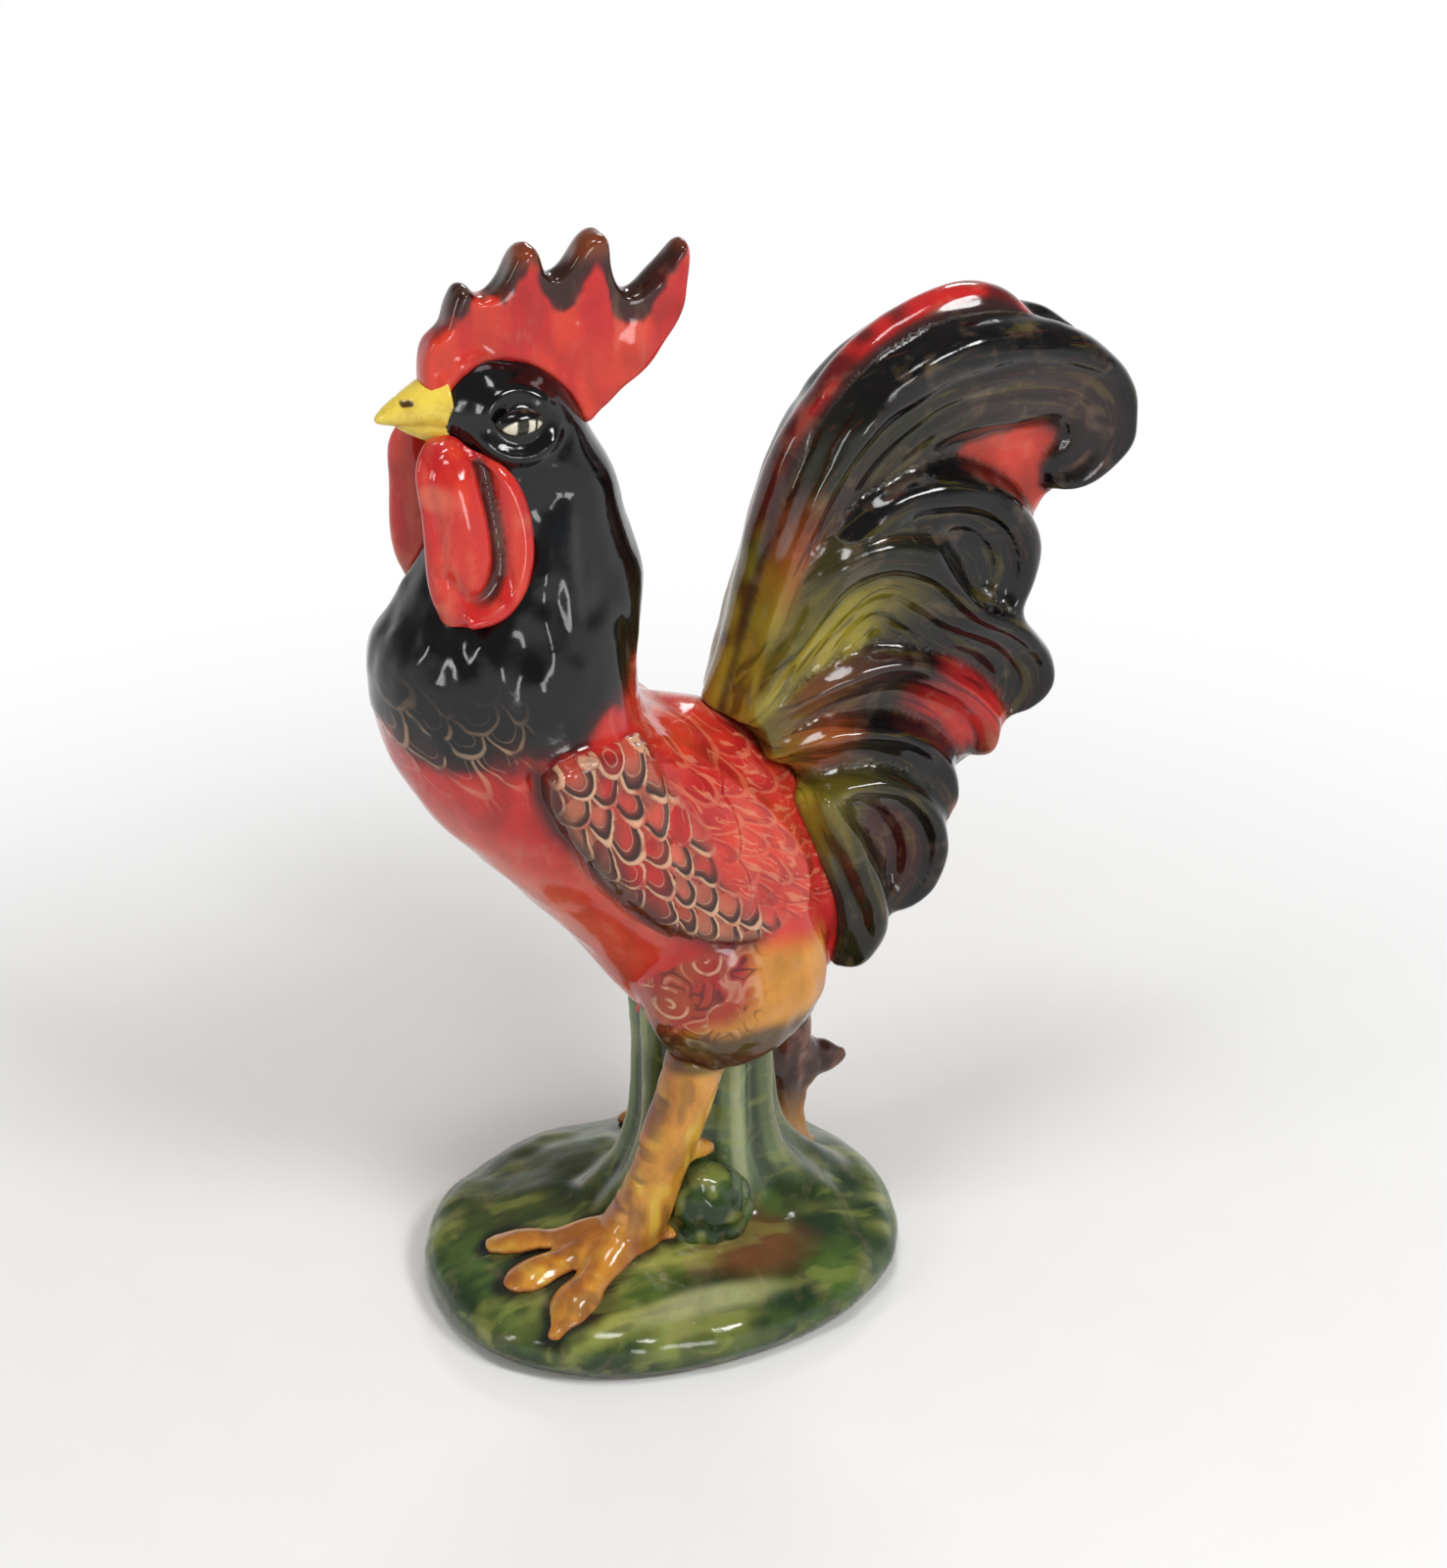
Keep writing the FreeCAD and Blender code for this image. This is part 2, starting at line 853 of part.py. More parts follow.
def make_left_wing(body):
    """Three layers of feathers that follow the curve of the body, each with its own relief."""
    outline = closed_curve([wing_place(x, z, 0) for x, z in wing_outline_shares])
    shield = Part.Face(Part.Wire([outline.toShape()])).extrude(vector(0, -body_width, 0))
    wing = shield.common(bird_solid(-wing_relief))
    coverts = shield.common(scalloped_block(covert_border_shares, covert_scallops))
    wing = wing.fuse(coverts.common(bird_solid(-covert_relief)))
    shoulder = shield.common(scalloped_block(shoulder_border_shares, shoulder_scallops))
    wing = wing.fuse(shoulder.common(bird_solid(-shoulder_relief)))
    return wing.cut(body)


# Tail

tail_x_share = 0.04
tail_z_share = 0.075
# Outline of the central blade of the tail, as shares of the tail's length and height
tail_core_shares = [
    (0.04, 0.42),
    (0.12, 0.586),
    (0.19, 0.758),
    (0.29, 0.871),
    (0.40, 0.946),
    (0.54, 0.989),
    (0.66, 1.00),
    (0.76, 0.962),
    (0.825, 0.892),
    (0.855, 0.806),
    (0.848, 0.71),
    (0.79, 0.634),
    (0.745, 0.554),
    (0.76, 0.473),
    (0.760, 0.376),
    (0.725, 0.298),
    (0.61, 0.253),
    (0.55, 0.172),
    (0.456, 0.097),
    (0.36, 0.045),
    (0.25, 0.06),
    (0.15, 0.188),
    (0.07, 0.312),
]


def tail_place(x_share, z_share):
    x = body_length * tail_x_share + tail_length * x_share
    z = body_bottom + body_height * tail_z_share + tail_height * z_share
    return x, z


def make_tail_core(body):
    outline = [tail_place(x, z) for x, z in tail_core_shares]
    return rounded_plate(outline, tail_core_thickness, tail_core_edge_round).cut(body)


# Cross-section of a feather: place across it and height above the blade, with a rolled outer rim
feather_profile_shares = [
    (1.00, 0.10),
    (0.97, 0.52),
    (0.84, 0.88),
    (0.62, 1.00),
    (0.40, 0.90),
    (0.22, 0.70),
    (0.06, 0.73),
    (-0.14, 0.66),
    (-0.32, 0.53),
    (-0.52, 0.55),
    (-0.76, 0.42),
    (-0.96, 0.12),
    (-0.60, -0.12),
    (0.00, -0.14),
    (0.60, -0.12),
]
# Place along the tail, height, half width share and thickness share of each section of a feather
sickle_shares = [
    (0.115, 0.420, 0.24, 0.60),
    (0.190, 0.550, 0.40, 0.80),
    (0.262, 0.668, 0.54, 0.90),
    (0.352, 0.774, 0.76, 1.00),
    (0.474, 0.845, 0.94, 1.00),
    (0.615, 0.874, 1.02, 1.00),
    (0.755, 0.874, 0.90, 1.00),
    (0.865, 0.852, 0.74, 1.00),
    (0.915, 0.806, 0.62, 1.00),
    (0.895, 0.758, 0.52, 0.95),
    (0.850, 0.728, 0.40, 0.80),
    (0.815, 0.716, 0.24, 0.55),
    (0.798, 0.712, 0.08, 0.25),
]
second_shares = [
    (0.126, 0.430, 0.34, 0.60),
    (0.222, 0.527, 0.56, 0.80),
    (0.310, 0.608, 0.78, 0.92),
    (0.414, 0.675, 0.96, 1.00),
    (0.526, 0.690, 1.00, 1.00),
    (0.622, 0.669, 1.00, 1.00),
    (0.674, 0.618, 0.96, 1.00),
    (0.662, 0.560, 0.76, 0.90),
    (0.630, 0.516, 0.44, 0.65),
    (0.612, 0.496, 0.14, 0.30),
]
hook_shares = [
    (0.130, 0.425, 0.22, 0.60),
    (0.206, 0.495, 0.46, 0.80),
    (0.286, 0.559, 0.76, 0.92),
    (0.362, 0.605, 1.00, 1.00),
    (0.442, 0.600, 0.92, 1.00),
    (0.514, 0.565, 0.68, 1.00),
    (0.586, 0.527, 0.52, 1.00),
    (0.666, 0.497, 0.49, 0.98),
    (0.725, 0.460, 0.48, 0.95),
    (0.742, 0.416, 0.44, 0.88),
    (0.722, 0.384, 0.27, 0.64),
    (0.706, 0.368, 0.08, 0.30),
]
ridge_shares = [
    (0.150, 0.398, 0.45, 0.75),
    (0.238, 0.438, 0.72, 0.92),
    (0.334, 0.457, 0.94, 1.00),
    (0.438, 0.460, 1.00, 1.00),
    (0.526, 0.433, 0.96, 1.00),
    (0.594, 0.395, 0.96, 0.98),
    (0.638, 0.352, 0.88, 0.92),
    (0.646, 0.317, 0.54, 0.66),
    (0.642, 0.302, 0.16, 0.30),
]
rump_shares = [
    (0.150, 0.368, 0.50, 0.78),
    (0.246, 0.377, 0.78, 0.95),
    (0.350, 0.374, 0.94, 1.00),
    (0.442, 0.349, 1.00, 1.00),
    (0.510, 0.308, 0.96, 0.98),
    (0.546, 0.262, 0.78, 0.88),
    (0.558, 0.231, 0.46, 0.62),
    (0.560, 0.217, 0.14, 0.30),
]
curl_shares = [
    (0.250, 0.302, 0.48, 0.85),
    (0.342, 0.290, 0.78, 0.95),
    (0.422, 0.266, 1.00, 1.00),
    (0.472, 0.220, 1.00, 1.00),
    (0.478, 0.169, 0.96, 0.95),
    (0.438, 0.124, 0.74, 0.80),
    (0.404, 0.103, 0.42, 0.56),
    (0.388, 0.096, 0.12, 0.25),
]
covert_shares = [
    (0.222, 0.312, 0.60, 0.90),
    (0.262, 0.231, 0.86, 1.00),
    (0.310, 0.151, 1.00, 1.00),
    (0.330, 0.086, 0.90, 0.92),
    (0.330, 0.044, 0.70, 0.74),
    (0.326, 0.016, 0.40, 0.46),
    (0.324, 0.005, 0.14, 0.22),
]


def feather_solid(stations, width, thickness):
    """A feather on the left face of the blade, swept along its curved quill line."""
    places = [tail_place(station[0], station[1]) for station in stations]
    sections = []
    count = len(places)
    for index in range(count):
        x, z = places[index]
        before = places[max(index - 1, 0)]
        after = places[min(index + 1, count - 1)]
        along_x = after[0] - before[0]
        along_z = after[1] - before[1]
        size = math.hypot(along_x, along_z)
        out_x = -along_z / size
        out_z = along_x / size
        half = width / 2 * stations[index][2]
        rise = thickness * stations[index][3]
        points = []
        for across, height in feather_profile_shares:
            y = -tail_core_thickness / 2 - rise * height
            points.append(vector(x + out_x * half * across, y, z + out_z * half * across))
        sections.append(points)
    return loft(sections)


def make_left_feathers(body, core):
    """The feathers of the left side by name, each cut by the blade and by those that lie over it."""
    kinds = [
        ("tail_covert", covert_shares, covert_feather_width, covert_feather_thickness),
        ("curled_feather", curl_shares, curl_feather_width, curl_feather_thickness),
        ("rump_feather", rump_shares, rump_feather_width, rump_feather_thickness),
        ("ridge_feather", ridge_shares, ridge_feather_width, ridge_feather_thickness),
        ("hook_feather", hook_shares, hook_feather_width, hook_feather_thickness),
        ("second_feather", second_shares, second_feather_width, second_feather_thickness),
        ("upper_sickle", sickle_shares, sickle_width, sickle_thickness),
    ]
    feathers = []
    over = []
    for name, stations, width, thickness in kinds:
        whole = feather_solid(stations, width, thickness)
        feather = whole.cut(body).cut(core)
        for other in over:
            feather = feather.cut(other)
        over.append(whole)
        feathers.append((name, feather))
    return feathers


def main():
    os.makedirs("parts", exist_ok=True)
    body = bird_solid(0)
    mound = mound_form(0)
    bore = column_bore()
    save(make_base_mound(mound, bore), "base_mound")
    column = make_column(mound, body, bore)
    save(column, "grass_column")
    filled_column = column_solid()
    torso, neck, head = make_body_shells(body)
    save(torso.cut(bore), "torso")
    save(neck, "neck")
    save(head, "head")
    comb = save(make_comb(body), "comb")
    upper_beak, lower_beak = make_beak(body, comb)
    save(upper_beak, "upper_beak")
    save(lower_beak, "lower_beak")
    for side, name in ((-1, "left"), (1, "right")):
        save(make_wattle(side, body, (upper_beak, lower_beak)), "wattle_" + name)
        save(make_eye(side, body), "eye_" + name)
    left_thigh = save(make_left_thigh(body), "thigh_left")
    right_thigh = save(mirrored(left_thigh), "thigh_right")
    stump = save(make_stump([mound, filled_column, body.fuse(right_thigh)]), "tree_stump")
    ground = [mound, filled_column, stump]
    left_ankle = vector(left_ankle_x, -left_ankle_y, mound_height)
    right_ankle = vector(right_ankle_x, right_ankle_y, mound_height + right_foot_lift)
    left_foot = save(make_foot(left_ankle, -1, left_toes, left_hind_angle, ground), "foot_left")
    right_foot = save(make_foot(right_ankle, 1, right_toes, right_hind_angle, ground), "foot_right")
    left_leg = make_leg(left_knee_x, left_ankle, -1, [left_thigh, body, left_foot] + ground)
    save(left_leg, "leg_left")
    right_leg = make_leg(right_knee_x, right_ankle, 1, [right_thigh, body, right_foot] + ground)
    save(right_leg, "leg_right")
    save(make_boulder([mound, filled_column, left_leg, left_foot]), "boulder")
    left_wing = save(make_left_wing(body).cut(left_thigh), "wing_left")
    save(mirrored(left_wing), "wing_right")
    core = save(make_tail_core(body), "tail_core")
    for name, feather in make_left_feathers(body, core):
        left_feather = save(feather.cut(left_thigh), name + "_left")
        save(mirrored(left_feather), name + "_right")


main()
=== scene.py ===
import math

import bpy
import numpy as np
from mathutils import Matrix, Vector
from mathutils.bvhtree import BVHTree


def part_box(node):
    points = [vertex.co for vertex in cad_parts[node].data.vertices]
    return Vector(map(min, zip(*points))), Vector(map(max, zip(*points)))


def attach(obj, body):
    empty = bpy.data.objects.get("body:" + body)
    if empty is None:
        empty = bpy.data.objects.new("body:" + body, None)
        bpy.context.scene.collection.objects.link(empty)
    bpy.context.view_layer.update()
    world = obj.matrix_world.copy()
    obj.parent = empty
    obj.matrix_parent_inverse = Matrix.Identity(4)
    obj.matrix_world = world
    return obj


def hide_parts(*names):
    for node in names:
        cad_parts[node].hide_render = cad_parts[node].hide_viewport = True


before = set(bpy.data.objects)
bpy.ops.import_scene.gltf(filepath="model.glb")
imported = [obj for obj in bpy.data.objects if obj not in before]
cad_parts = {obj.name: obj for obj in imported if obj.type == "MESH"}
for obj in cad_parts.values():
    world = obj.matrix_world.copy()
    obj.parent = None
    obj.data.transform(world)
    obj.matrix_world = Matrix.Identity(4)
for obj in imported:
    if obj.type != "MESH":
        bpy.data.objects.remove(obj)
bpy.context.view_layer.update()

# Lengths are in metres, and places on the bird are written in millimetres
MM = 0.001

SIDES = ("left", "right")

# Voxel sizes of the dressed pieces
BODY_VOXEL = 0.86 * MM
TAIL_VOXEL = 0.95 * MM
GROUND_VOXEL = 1.05 * MM
LEG_VOXEL = 0.6 * MM
FINE_VOXEL = 0.5 * MM
TINY_VOXEL = 0.3 * MM

# Surface of the glaze: how much its roughness varies, and its clear coat
GLAZE_ROUGHNESS = 0.12
GLAZE_IOR = 1.42
COAT_WEIGHT = 0.15
COAT_ROUGHNESS = 0.02

# The studio: lamps by name, azimuth, elevation, distance, width, height and power
LAMPS = (("key", 25, 44, 1.1, 0.30, 0.22, 5.0), ("top", -35, 74, 1.2, 0.34, 0.26, 3.6),
         ("front", -2, 13, 1.15, 0.22, 0.30, 1.6), ("window", -80, 25, 1.3, 0.14, 0.40, 1.8),
         ("rim", 150, 35, 1.3, 0.34, 0.24, 2.4))
WORLD_STRENGTH = 0.32
FLOOR_SIZE = 12.0
WHITE = (1.0, 1.0, 1.0, 1.0)
RAY_KINDS = ("Camera", "Glossy", "Transmission")

# The photograph's view
CAMERA_AZIMUTH = -22.0
CAMERA_ELEVATION = 27.0
CAMERA_DISTANCE = 0.8
CAMERA_TARGET = Vector((0.018, 0.0, 0.146))
CAMERA_LENS = 69.17
SENSOR = 36.0


# Colours of the glazes, as light values

def linear(red, green, blue):
    """A given colour, turned from display values from 0 to 255 into light values."""
    values = []
    for value in (red / 255, green / 255, blue / 255):
        values.append(value / 12.92 if value <= 0.04045 else ((value + 0.055) / 1.055) ** 2.4)
    return np.array(values)


RED = linear(196, 38, 36)
DEEP_RED = linear(150, 26, 28)
ORANGE_RED = linear(214, 62, 42)
PEACH = linear(226, 142, 106)
CREAM = linear(226, 186, 150)
BLACK = linear(8, 8, 10)
SOFT_BLACK = linear(20, 22, 24)
MAROON = linear(66, 18, 20)
WINE = linear(126, 36, 34)
DARK_BROWN = linear(52, 26, 20)
RUST = linear(150, 72, 34)
OCHRE = linear(200, 138, 48)
GOLD = linear(216, 150, 62)
OLIVE = linear(100, 92, 30)
DARK_OLIVE = linear(64, 66, 34)
YELLOW_OLIVE = linear(158, 144, 46)
OLIVE_BLACK = linear(38, 38, 22)
PLUM = linear(52, 34, 34)
UMBER = linear(112, 72, 46)
LEAF = linear(74, 98, 44)
DARK_LEAF = linear(34, 54, 28)
YELLOW_LEAF = linear(158, 164, 82)
SAGE = linear(112, 130, 88)
PALE_SAGE = linear(176, 180, 138)
BEAK_YELLOW = linear(236, 210, 82)
EYE_WHITE = linear(226, 222, 200)
BARK = linear(116, 72, 54)


# Geometry

def read(values, name, width, kind=float):
    """One row of numbers for each vertex, edge or triangle of a mesh."""
    numbers = np.empty(len(values) * width, dtype=kind)
    values.foreach_get(name, numbers)
    return numbers.reshape(-1, width)


def vertex_array(piece):
    return read(piece.data.vertices, "co", 3)


def normal_array(piece):
    return read(piece.data.vertex_normals, "vector", 3)


def edge_array(piece):
    return read(piece.data.edges, "vertices", 2, np.int32)


def triangle_array(piece):
    piece.data.calc_loop_triangles()
    return read(piece.data.loop_triangles, "vertices", 3, np.int32)


def set_vertices(piece, points):
    piece.data.vertices.foreach_set("co", np.ascontiguousarray(points).reshape(-1))
    piece.data.update()


def new_object(name, points, faces):
    """An object from points and from faces that all have the same number of corners."""
    mesh = bpy.data.meshes.new(name)
    points = np.asarray(points, dtype=float)
    faces = np.asarray(faces, dtype=np.int32)
    count, corners = faces.shape
    mesh.vertices.add(len(points))
    mesh.vertices.foreach_set("co", points.reshape(-1))
    mesh.loops.add(count * corners)
    mesh.loops.foreach_set("vertex_index", faces.reshape(-1))
    mesh.polygons.add(count)
    mesh.polygons.foreach_set("loop_start", np.arange(count, dtype=np.int32) * corners)
    mesh.update(calc_edges=True)
    mesh.validate()
    piece = bpy.data.objects.new(name, mesh)
    bpy.context.scene.collection.objects.link(piece)
    return piece


def joined_arrays(nodes, extra=()):
    """Points and triangles of some CAD nodes in one list, with any extra point and face lists."""
    parts = [(vertex_array(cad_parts[node]), triangle_array(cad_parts[node])) for node in nodes]
    parts += list(extra)
    starts = np.cumsum([0] + [len(part[0]) for part in parts])
    points = np.concatenate([part[0] for part in parts])
    faces = np.concatenate([part[1] + start for part, start in zip(parts, starts)])
    owner = np.concatenate([np.full(len(part[1]), index) for index, part in enumerate(parts)])
    return points, faces, owner


def ball(centre, radii, rings=12, segments=20):
    """Points and triangles of an ellipsoid, to plug a bore before the pieces are joined."""
    points = []
    faces = []
    for ring in range(rings + 1):
        polar = math.pi * ring / rings
        for segment in range(segments):
            turn = 2 * math.pi * segment / segments
            unit = (math.sin(polar) * math.cos(turn), math.sin(polar) * math.sin(turn), math.cos(polar))
            points.append([centre[axis] + radii[axis] * unit[axis] for axis in range(3)])
    for ring in range(rings):
        for segment in range(segments):
            following = (segment + 1) % segments
            a = ring * segments + segment
            b = ring * segments + following
            faces.append((a, a + segments, b + segments))
            faces.append((a, b + segments, b))
    return np.array(points), np.array(faces)


def apply_modifiers(piece):
    graph = bpy.context.evaluated_depsgraph_get()
    mesh = bpy.data.meshes.new_from_object(piece.evaluated_get(graph))
    piece.modifiers.clear()
    piece.data = mesh


def remesh(piece, voxel):
    modifier = piece.modifiers.new("remesh", "REMESH")
    modifier.mode = "VOXEL"
    modifier.voxel_size = voxel
    apply_modifiers(piece)
    keep_largest(piece)


def keep_largest(piece):
    """Drops every loose part but the largest, such as the walls of a sealed hollow."""
    points = vertex_array(piece)
    ends = edge_array(piece)
    label = np.arange(len(points))
    while True:
        low = np.minimum(label[ends[:, 0]], label[ends[:, 1]])
        fresh = label.copy()
        np.minimum.at(fresh, ends[:, 0], low)
        np.minimum.at(fresh, ends[:, 1], low)
        fresh = fresh[fresh]
        if (fresh == label).all():
            break
        label = fresh
    values, counts = np.unique(label, return_counts=True)
    if len(values) == 1:
        return
    keep = label == values[counts.argmax()]
    index = np.cumsum(keep) - 1
    faces = [tuple(index[list(face.vertices)]) for face in piece.data.polygons if keep[face.vertices[0]]]
    mesh = bpy.data.meshes.new(piece.name)
    mesh.from_pydata([tuple(point) for point in points[keep]], [], faces)
    mesh.update()
    piece.data = mesh


def neighbour_mean(values, ends, rounds):
    """Values averaged with those of their neighbours, so many times."""
    size = len(values)
    flat = values.reshape(size, -1)
    first = np.concatenate([ends[:, 0], ends[:, 1]])
    second = np.concatenate([ends[:, 1], ends[:, 0]])
    count = np.bincount(first, minlength=size)
    count[count == 0] = 1
    for step in range(rounds):
        sums = [np.bincount(first, weights=column[second], minlength=size) for column in flat.T]
        flat = 0.5 * flat + 0.5 * np.stack([total / count for total in sums], axis=1)
    return flat.reshape(values.shape)


def soften(piece, rounds, weights=None):
    """Smooths a piece all over, or by the weight of each vertex."""
    points = vertex_array(piece)
    ends = edge_array(piece)
    if weights is None:
        points = neighbour_mean(points, ends, rounds)
    else:
        for step in range(rounds):
            points = points + (neighbour_mean(points, ends, 1) - points) * weights[:, None]
    set_vertices(piece, points)


def push(piece, heights):
    """Moves each vertex along its normal by its height in metres."""
    offsets = normal_array(piece) * np.asarray(heights).reshape(-1, 1)
    set_vertices(piece, vertex_array(piece) + offsets)


def dress(name, nodes, voxel, rounds, extra=()):
    """A new piece with one closed skin over some CAD nodes, softened all over."""
    piece = new_object(name, *joined_arrays(nodes, extra)[:2])
    remesh(piece, voxel)
    soften(piece, rounds)
    return piece


def fill_creases(piece, gap, voxel):
    """Fills the creases narrower than twice the gap, as thick glaze does."""
    push(piece, np.full(len(piece.data.vertices), gap))
    remesh(piece, voxel)
    soften(piece, 2)
    push(piece, np.full(len(piece.data.vertices), -gap))


def nearest(nodes, points, reach):
    """For each point, the number of the nearest CAD node of the list and its distance within the reach."""
    corners, faces, owner = joined_arrays(nodes)
    tree = BVHTree.FromPolygons(corners.tolist(), faces.tolist())
    number = np.full(len(points), -1)
    gap = np.full(len(points), reach)
    for index, point in enumerate(points.tolist()):
        hit = tree.find_nearest(point, reach)
        if hit[0] is not None:
            number[index] = owner[hit[2]]
            gap[index] = hit[3]
    return number, gap


def flare(piece, nodes, reach, amount):
    """Thickens a piece where it meets its neighbours, as slip and glaze fill the joint."""
    near = 1 - nearest(nodes, vertex_array(piece), reach)[1] / reach
    push(piece, near * near * amount)


def hollows(piece, rounds):
    """How deep each vertex lies in a crease, in millimetres, less than nothing on a ridge."""
    points = vertex_array(piece)
    mean = neighbour_mean(points, edge_array(piece), rounds)
    return ((mean - points) * normal_array(piece)).sum(axis=1) / MM


def seam(mask, ends, rounds, gain):
    """From 1 along the border of a mask to 0 some way off on both sides."""
    odd = mask[ends[:, 0]] != mask[ends[:, 1]]
    weight = np.zeros(len(mask))
    weight[ends[odd].reshape(-1)] = 1.0
    return np.clip(neighbour_mean(weight, ends, rounds) * gain, 0, 1)


# Fields over the vertices

def ease(low, high, values):
    """A smooth step from 0 at the low value to 1 at the high one."""
    share = np.clip((values - low) / (high - low), 0.0, 1.0)
    return share * share * (3 - 2 * share)


def bump_at(values, middle, width):
    return np.exp(-((values - middle) / width) ** 2)


def blend(share, first, second):
    """Colours mixed by a share for each vertex."""
    share = np.asarray(share)[:, None]
    return first * (1 - share) + second * share


def layers(paint, *coats):
    """Paint after more coats, each with its share for every vertex and its colour."""
    for share, colour in coats:
        paint = blend(share, paint, colour)
    return paint


def lumps(points, size, seed, stretch=(1.0, 1.0, 1.0)):
    """Smooth random values from -1 to 1 that change over the size in millimetres."""
    count = 24
    table = np.random.default_rng(seed).uniform(-1, 1, (count, count, count))
    place = points * np.array(stretch) / (size * MM)
    base = np.floor(place).astype(int)
    part = place - base
    part = part * part * (3 - 2 * part)
    total = np.zeros(len(points))
    for corner in range(8):
        step = np.array([corner & 1, corner >> 1 & 1, corner >> 2 & 1])
        weight = np.prod(np.where(step == 1, part, 1 - part), axis=1)
        cell = (base + step) % count
        total += weight * table[cell[:, 0], cell[:, 1], cell[:, 2]]
    return total


def side_view(points):
    """Places across and up in the side view, in millimetres."""
    return np.stack([points[:, 0], points[:, 2]], axis=1) / MM


def follow(places, line):
    """Distance from an open line of places, signed on its left, and the way along it, in millimetres."""
    line = np.asarray(line, dtype=float)
    best = np.full(len(places), 1e9)
    side = np.zeros(len(places))
    way = np.zeros(len(places))
    done = 0.0
    for start, end in zip(line, line[1:]):
        step = end - start
        size = math.hypot(step[0], step[1])
        unit = step / size
        part = (places - start) @ unit
        clipped = np.clip(part, 0, size)
        off = places - start - clipped[:, None] * unit
        gap = np.hypot(off[:, 0], off[:, 1])
        left = unit[0] * (places[:, 1] - start[1]) - unit[1] * (places[:, 0] - start[0])
        closer = gap < best
        best[closer] = gap[closer]
        side[closer] = np.sign(left[closer]) * gap[closer]
        way[closer] = done + clipped[closer]
        done += size
    return side, way, done


def bend(line):
    """The same open line with its corners cut twice, for a smoother path."""
    line = [tuple(place) for place in line]
    for turn in range(2):
        fresh = [line[0]]
        for (x1, z1), (x2, z2) in zip(line, line[1:]):
            fresh.append((0.75 * x1 + 0.25 * x2, 0.75 * z1 + 0.25 * z2))
            fresh.append((0.25 * x1 + 0.75 * x2, 0.25 * z1 + 0.75 * z2))
        line = fresh + [line[-1]]
    return line


def inside(places, corners):
    """Whether each place lies inside a closed outline."""
    corners = np.asarray(corners, dtype=float)
    result = np.zeros(len(places), dtype=bool)
    for (x1, z1), (x2, z2) in zip(corners, np.roll(corners, -1, axis=0)):
        crosses = (z1 > places[:, 1]) != (z2 > places[:, 1])
        at = x1 + (places[:, 1] - z1) / (z2 - z1 + 1e-12) * (x2 - x1)
        result ^= crosses & (places[:, 0] < at)
    return result


def patch(places, corners, soft):
    """From 0 outside a closed outline to 1 inside it, over a soft edge in millimetres."""
    gap = np.abs(follow(places, [*corners, corners[0]])[0])
    return ease(-soft, soft, np.where(inside(places, corners), gap, -gap))


def read_line(line, values):
    """The second number of an open line of pairs where the first number has these values."""
    return np.interp(values, [pair[0] for pair in line], [pair[1] for pair in line])


def ramp(values, stops):
    """Colours at the values, from a list of places and colours."""
    places = [place for place, colour in stops]
    colours = np.array([colour for place, colour in stops])
    return np.stack([np.interp(values, places, column) for column in colours.T], axis=1)


def store(piece, name, values):
    """Keeps one number, or a vector, for each vertex of a piece."""
    values = np.asarray(values, dtype=float)
    kind, field = ("FLOAT", "value") if values.ndim == 1 else ("FLOAT_VECTOR", "vector")
    attribute = piece.data.attributes.new(name, kind, "POINT")
    attribute.data.foreach_set(field, np.ascontiguousarray(values).reshape(-1))


# Shader helpers

class Value:
    """What a node gives. Sums, products and powers of values become math nodes."""

    def __init__(self, nodes, socket):
        self.nodes = nodes
        self.socket = socket

    def __add__(self, other):
        return self.nodes.math("ADD", self, other)

    def __sub__(self, other):
        return self.nodes.math("SUBTRACT", self, other)

    def __rsub__(self, other):
        return self.nodes.math("SUBTRACT", other, self)

    def __mul__(self, other):
        return self.nodes.math("MULTIPLY", self, other)

    def __truediv__(self, other):
        return self.nodes.math("DIVIDE", self, other)

    def __pow__(self, other):
        return self.nodes.math("POWER", self, other)


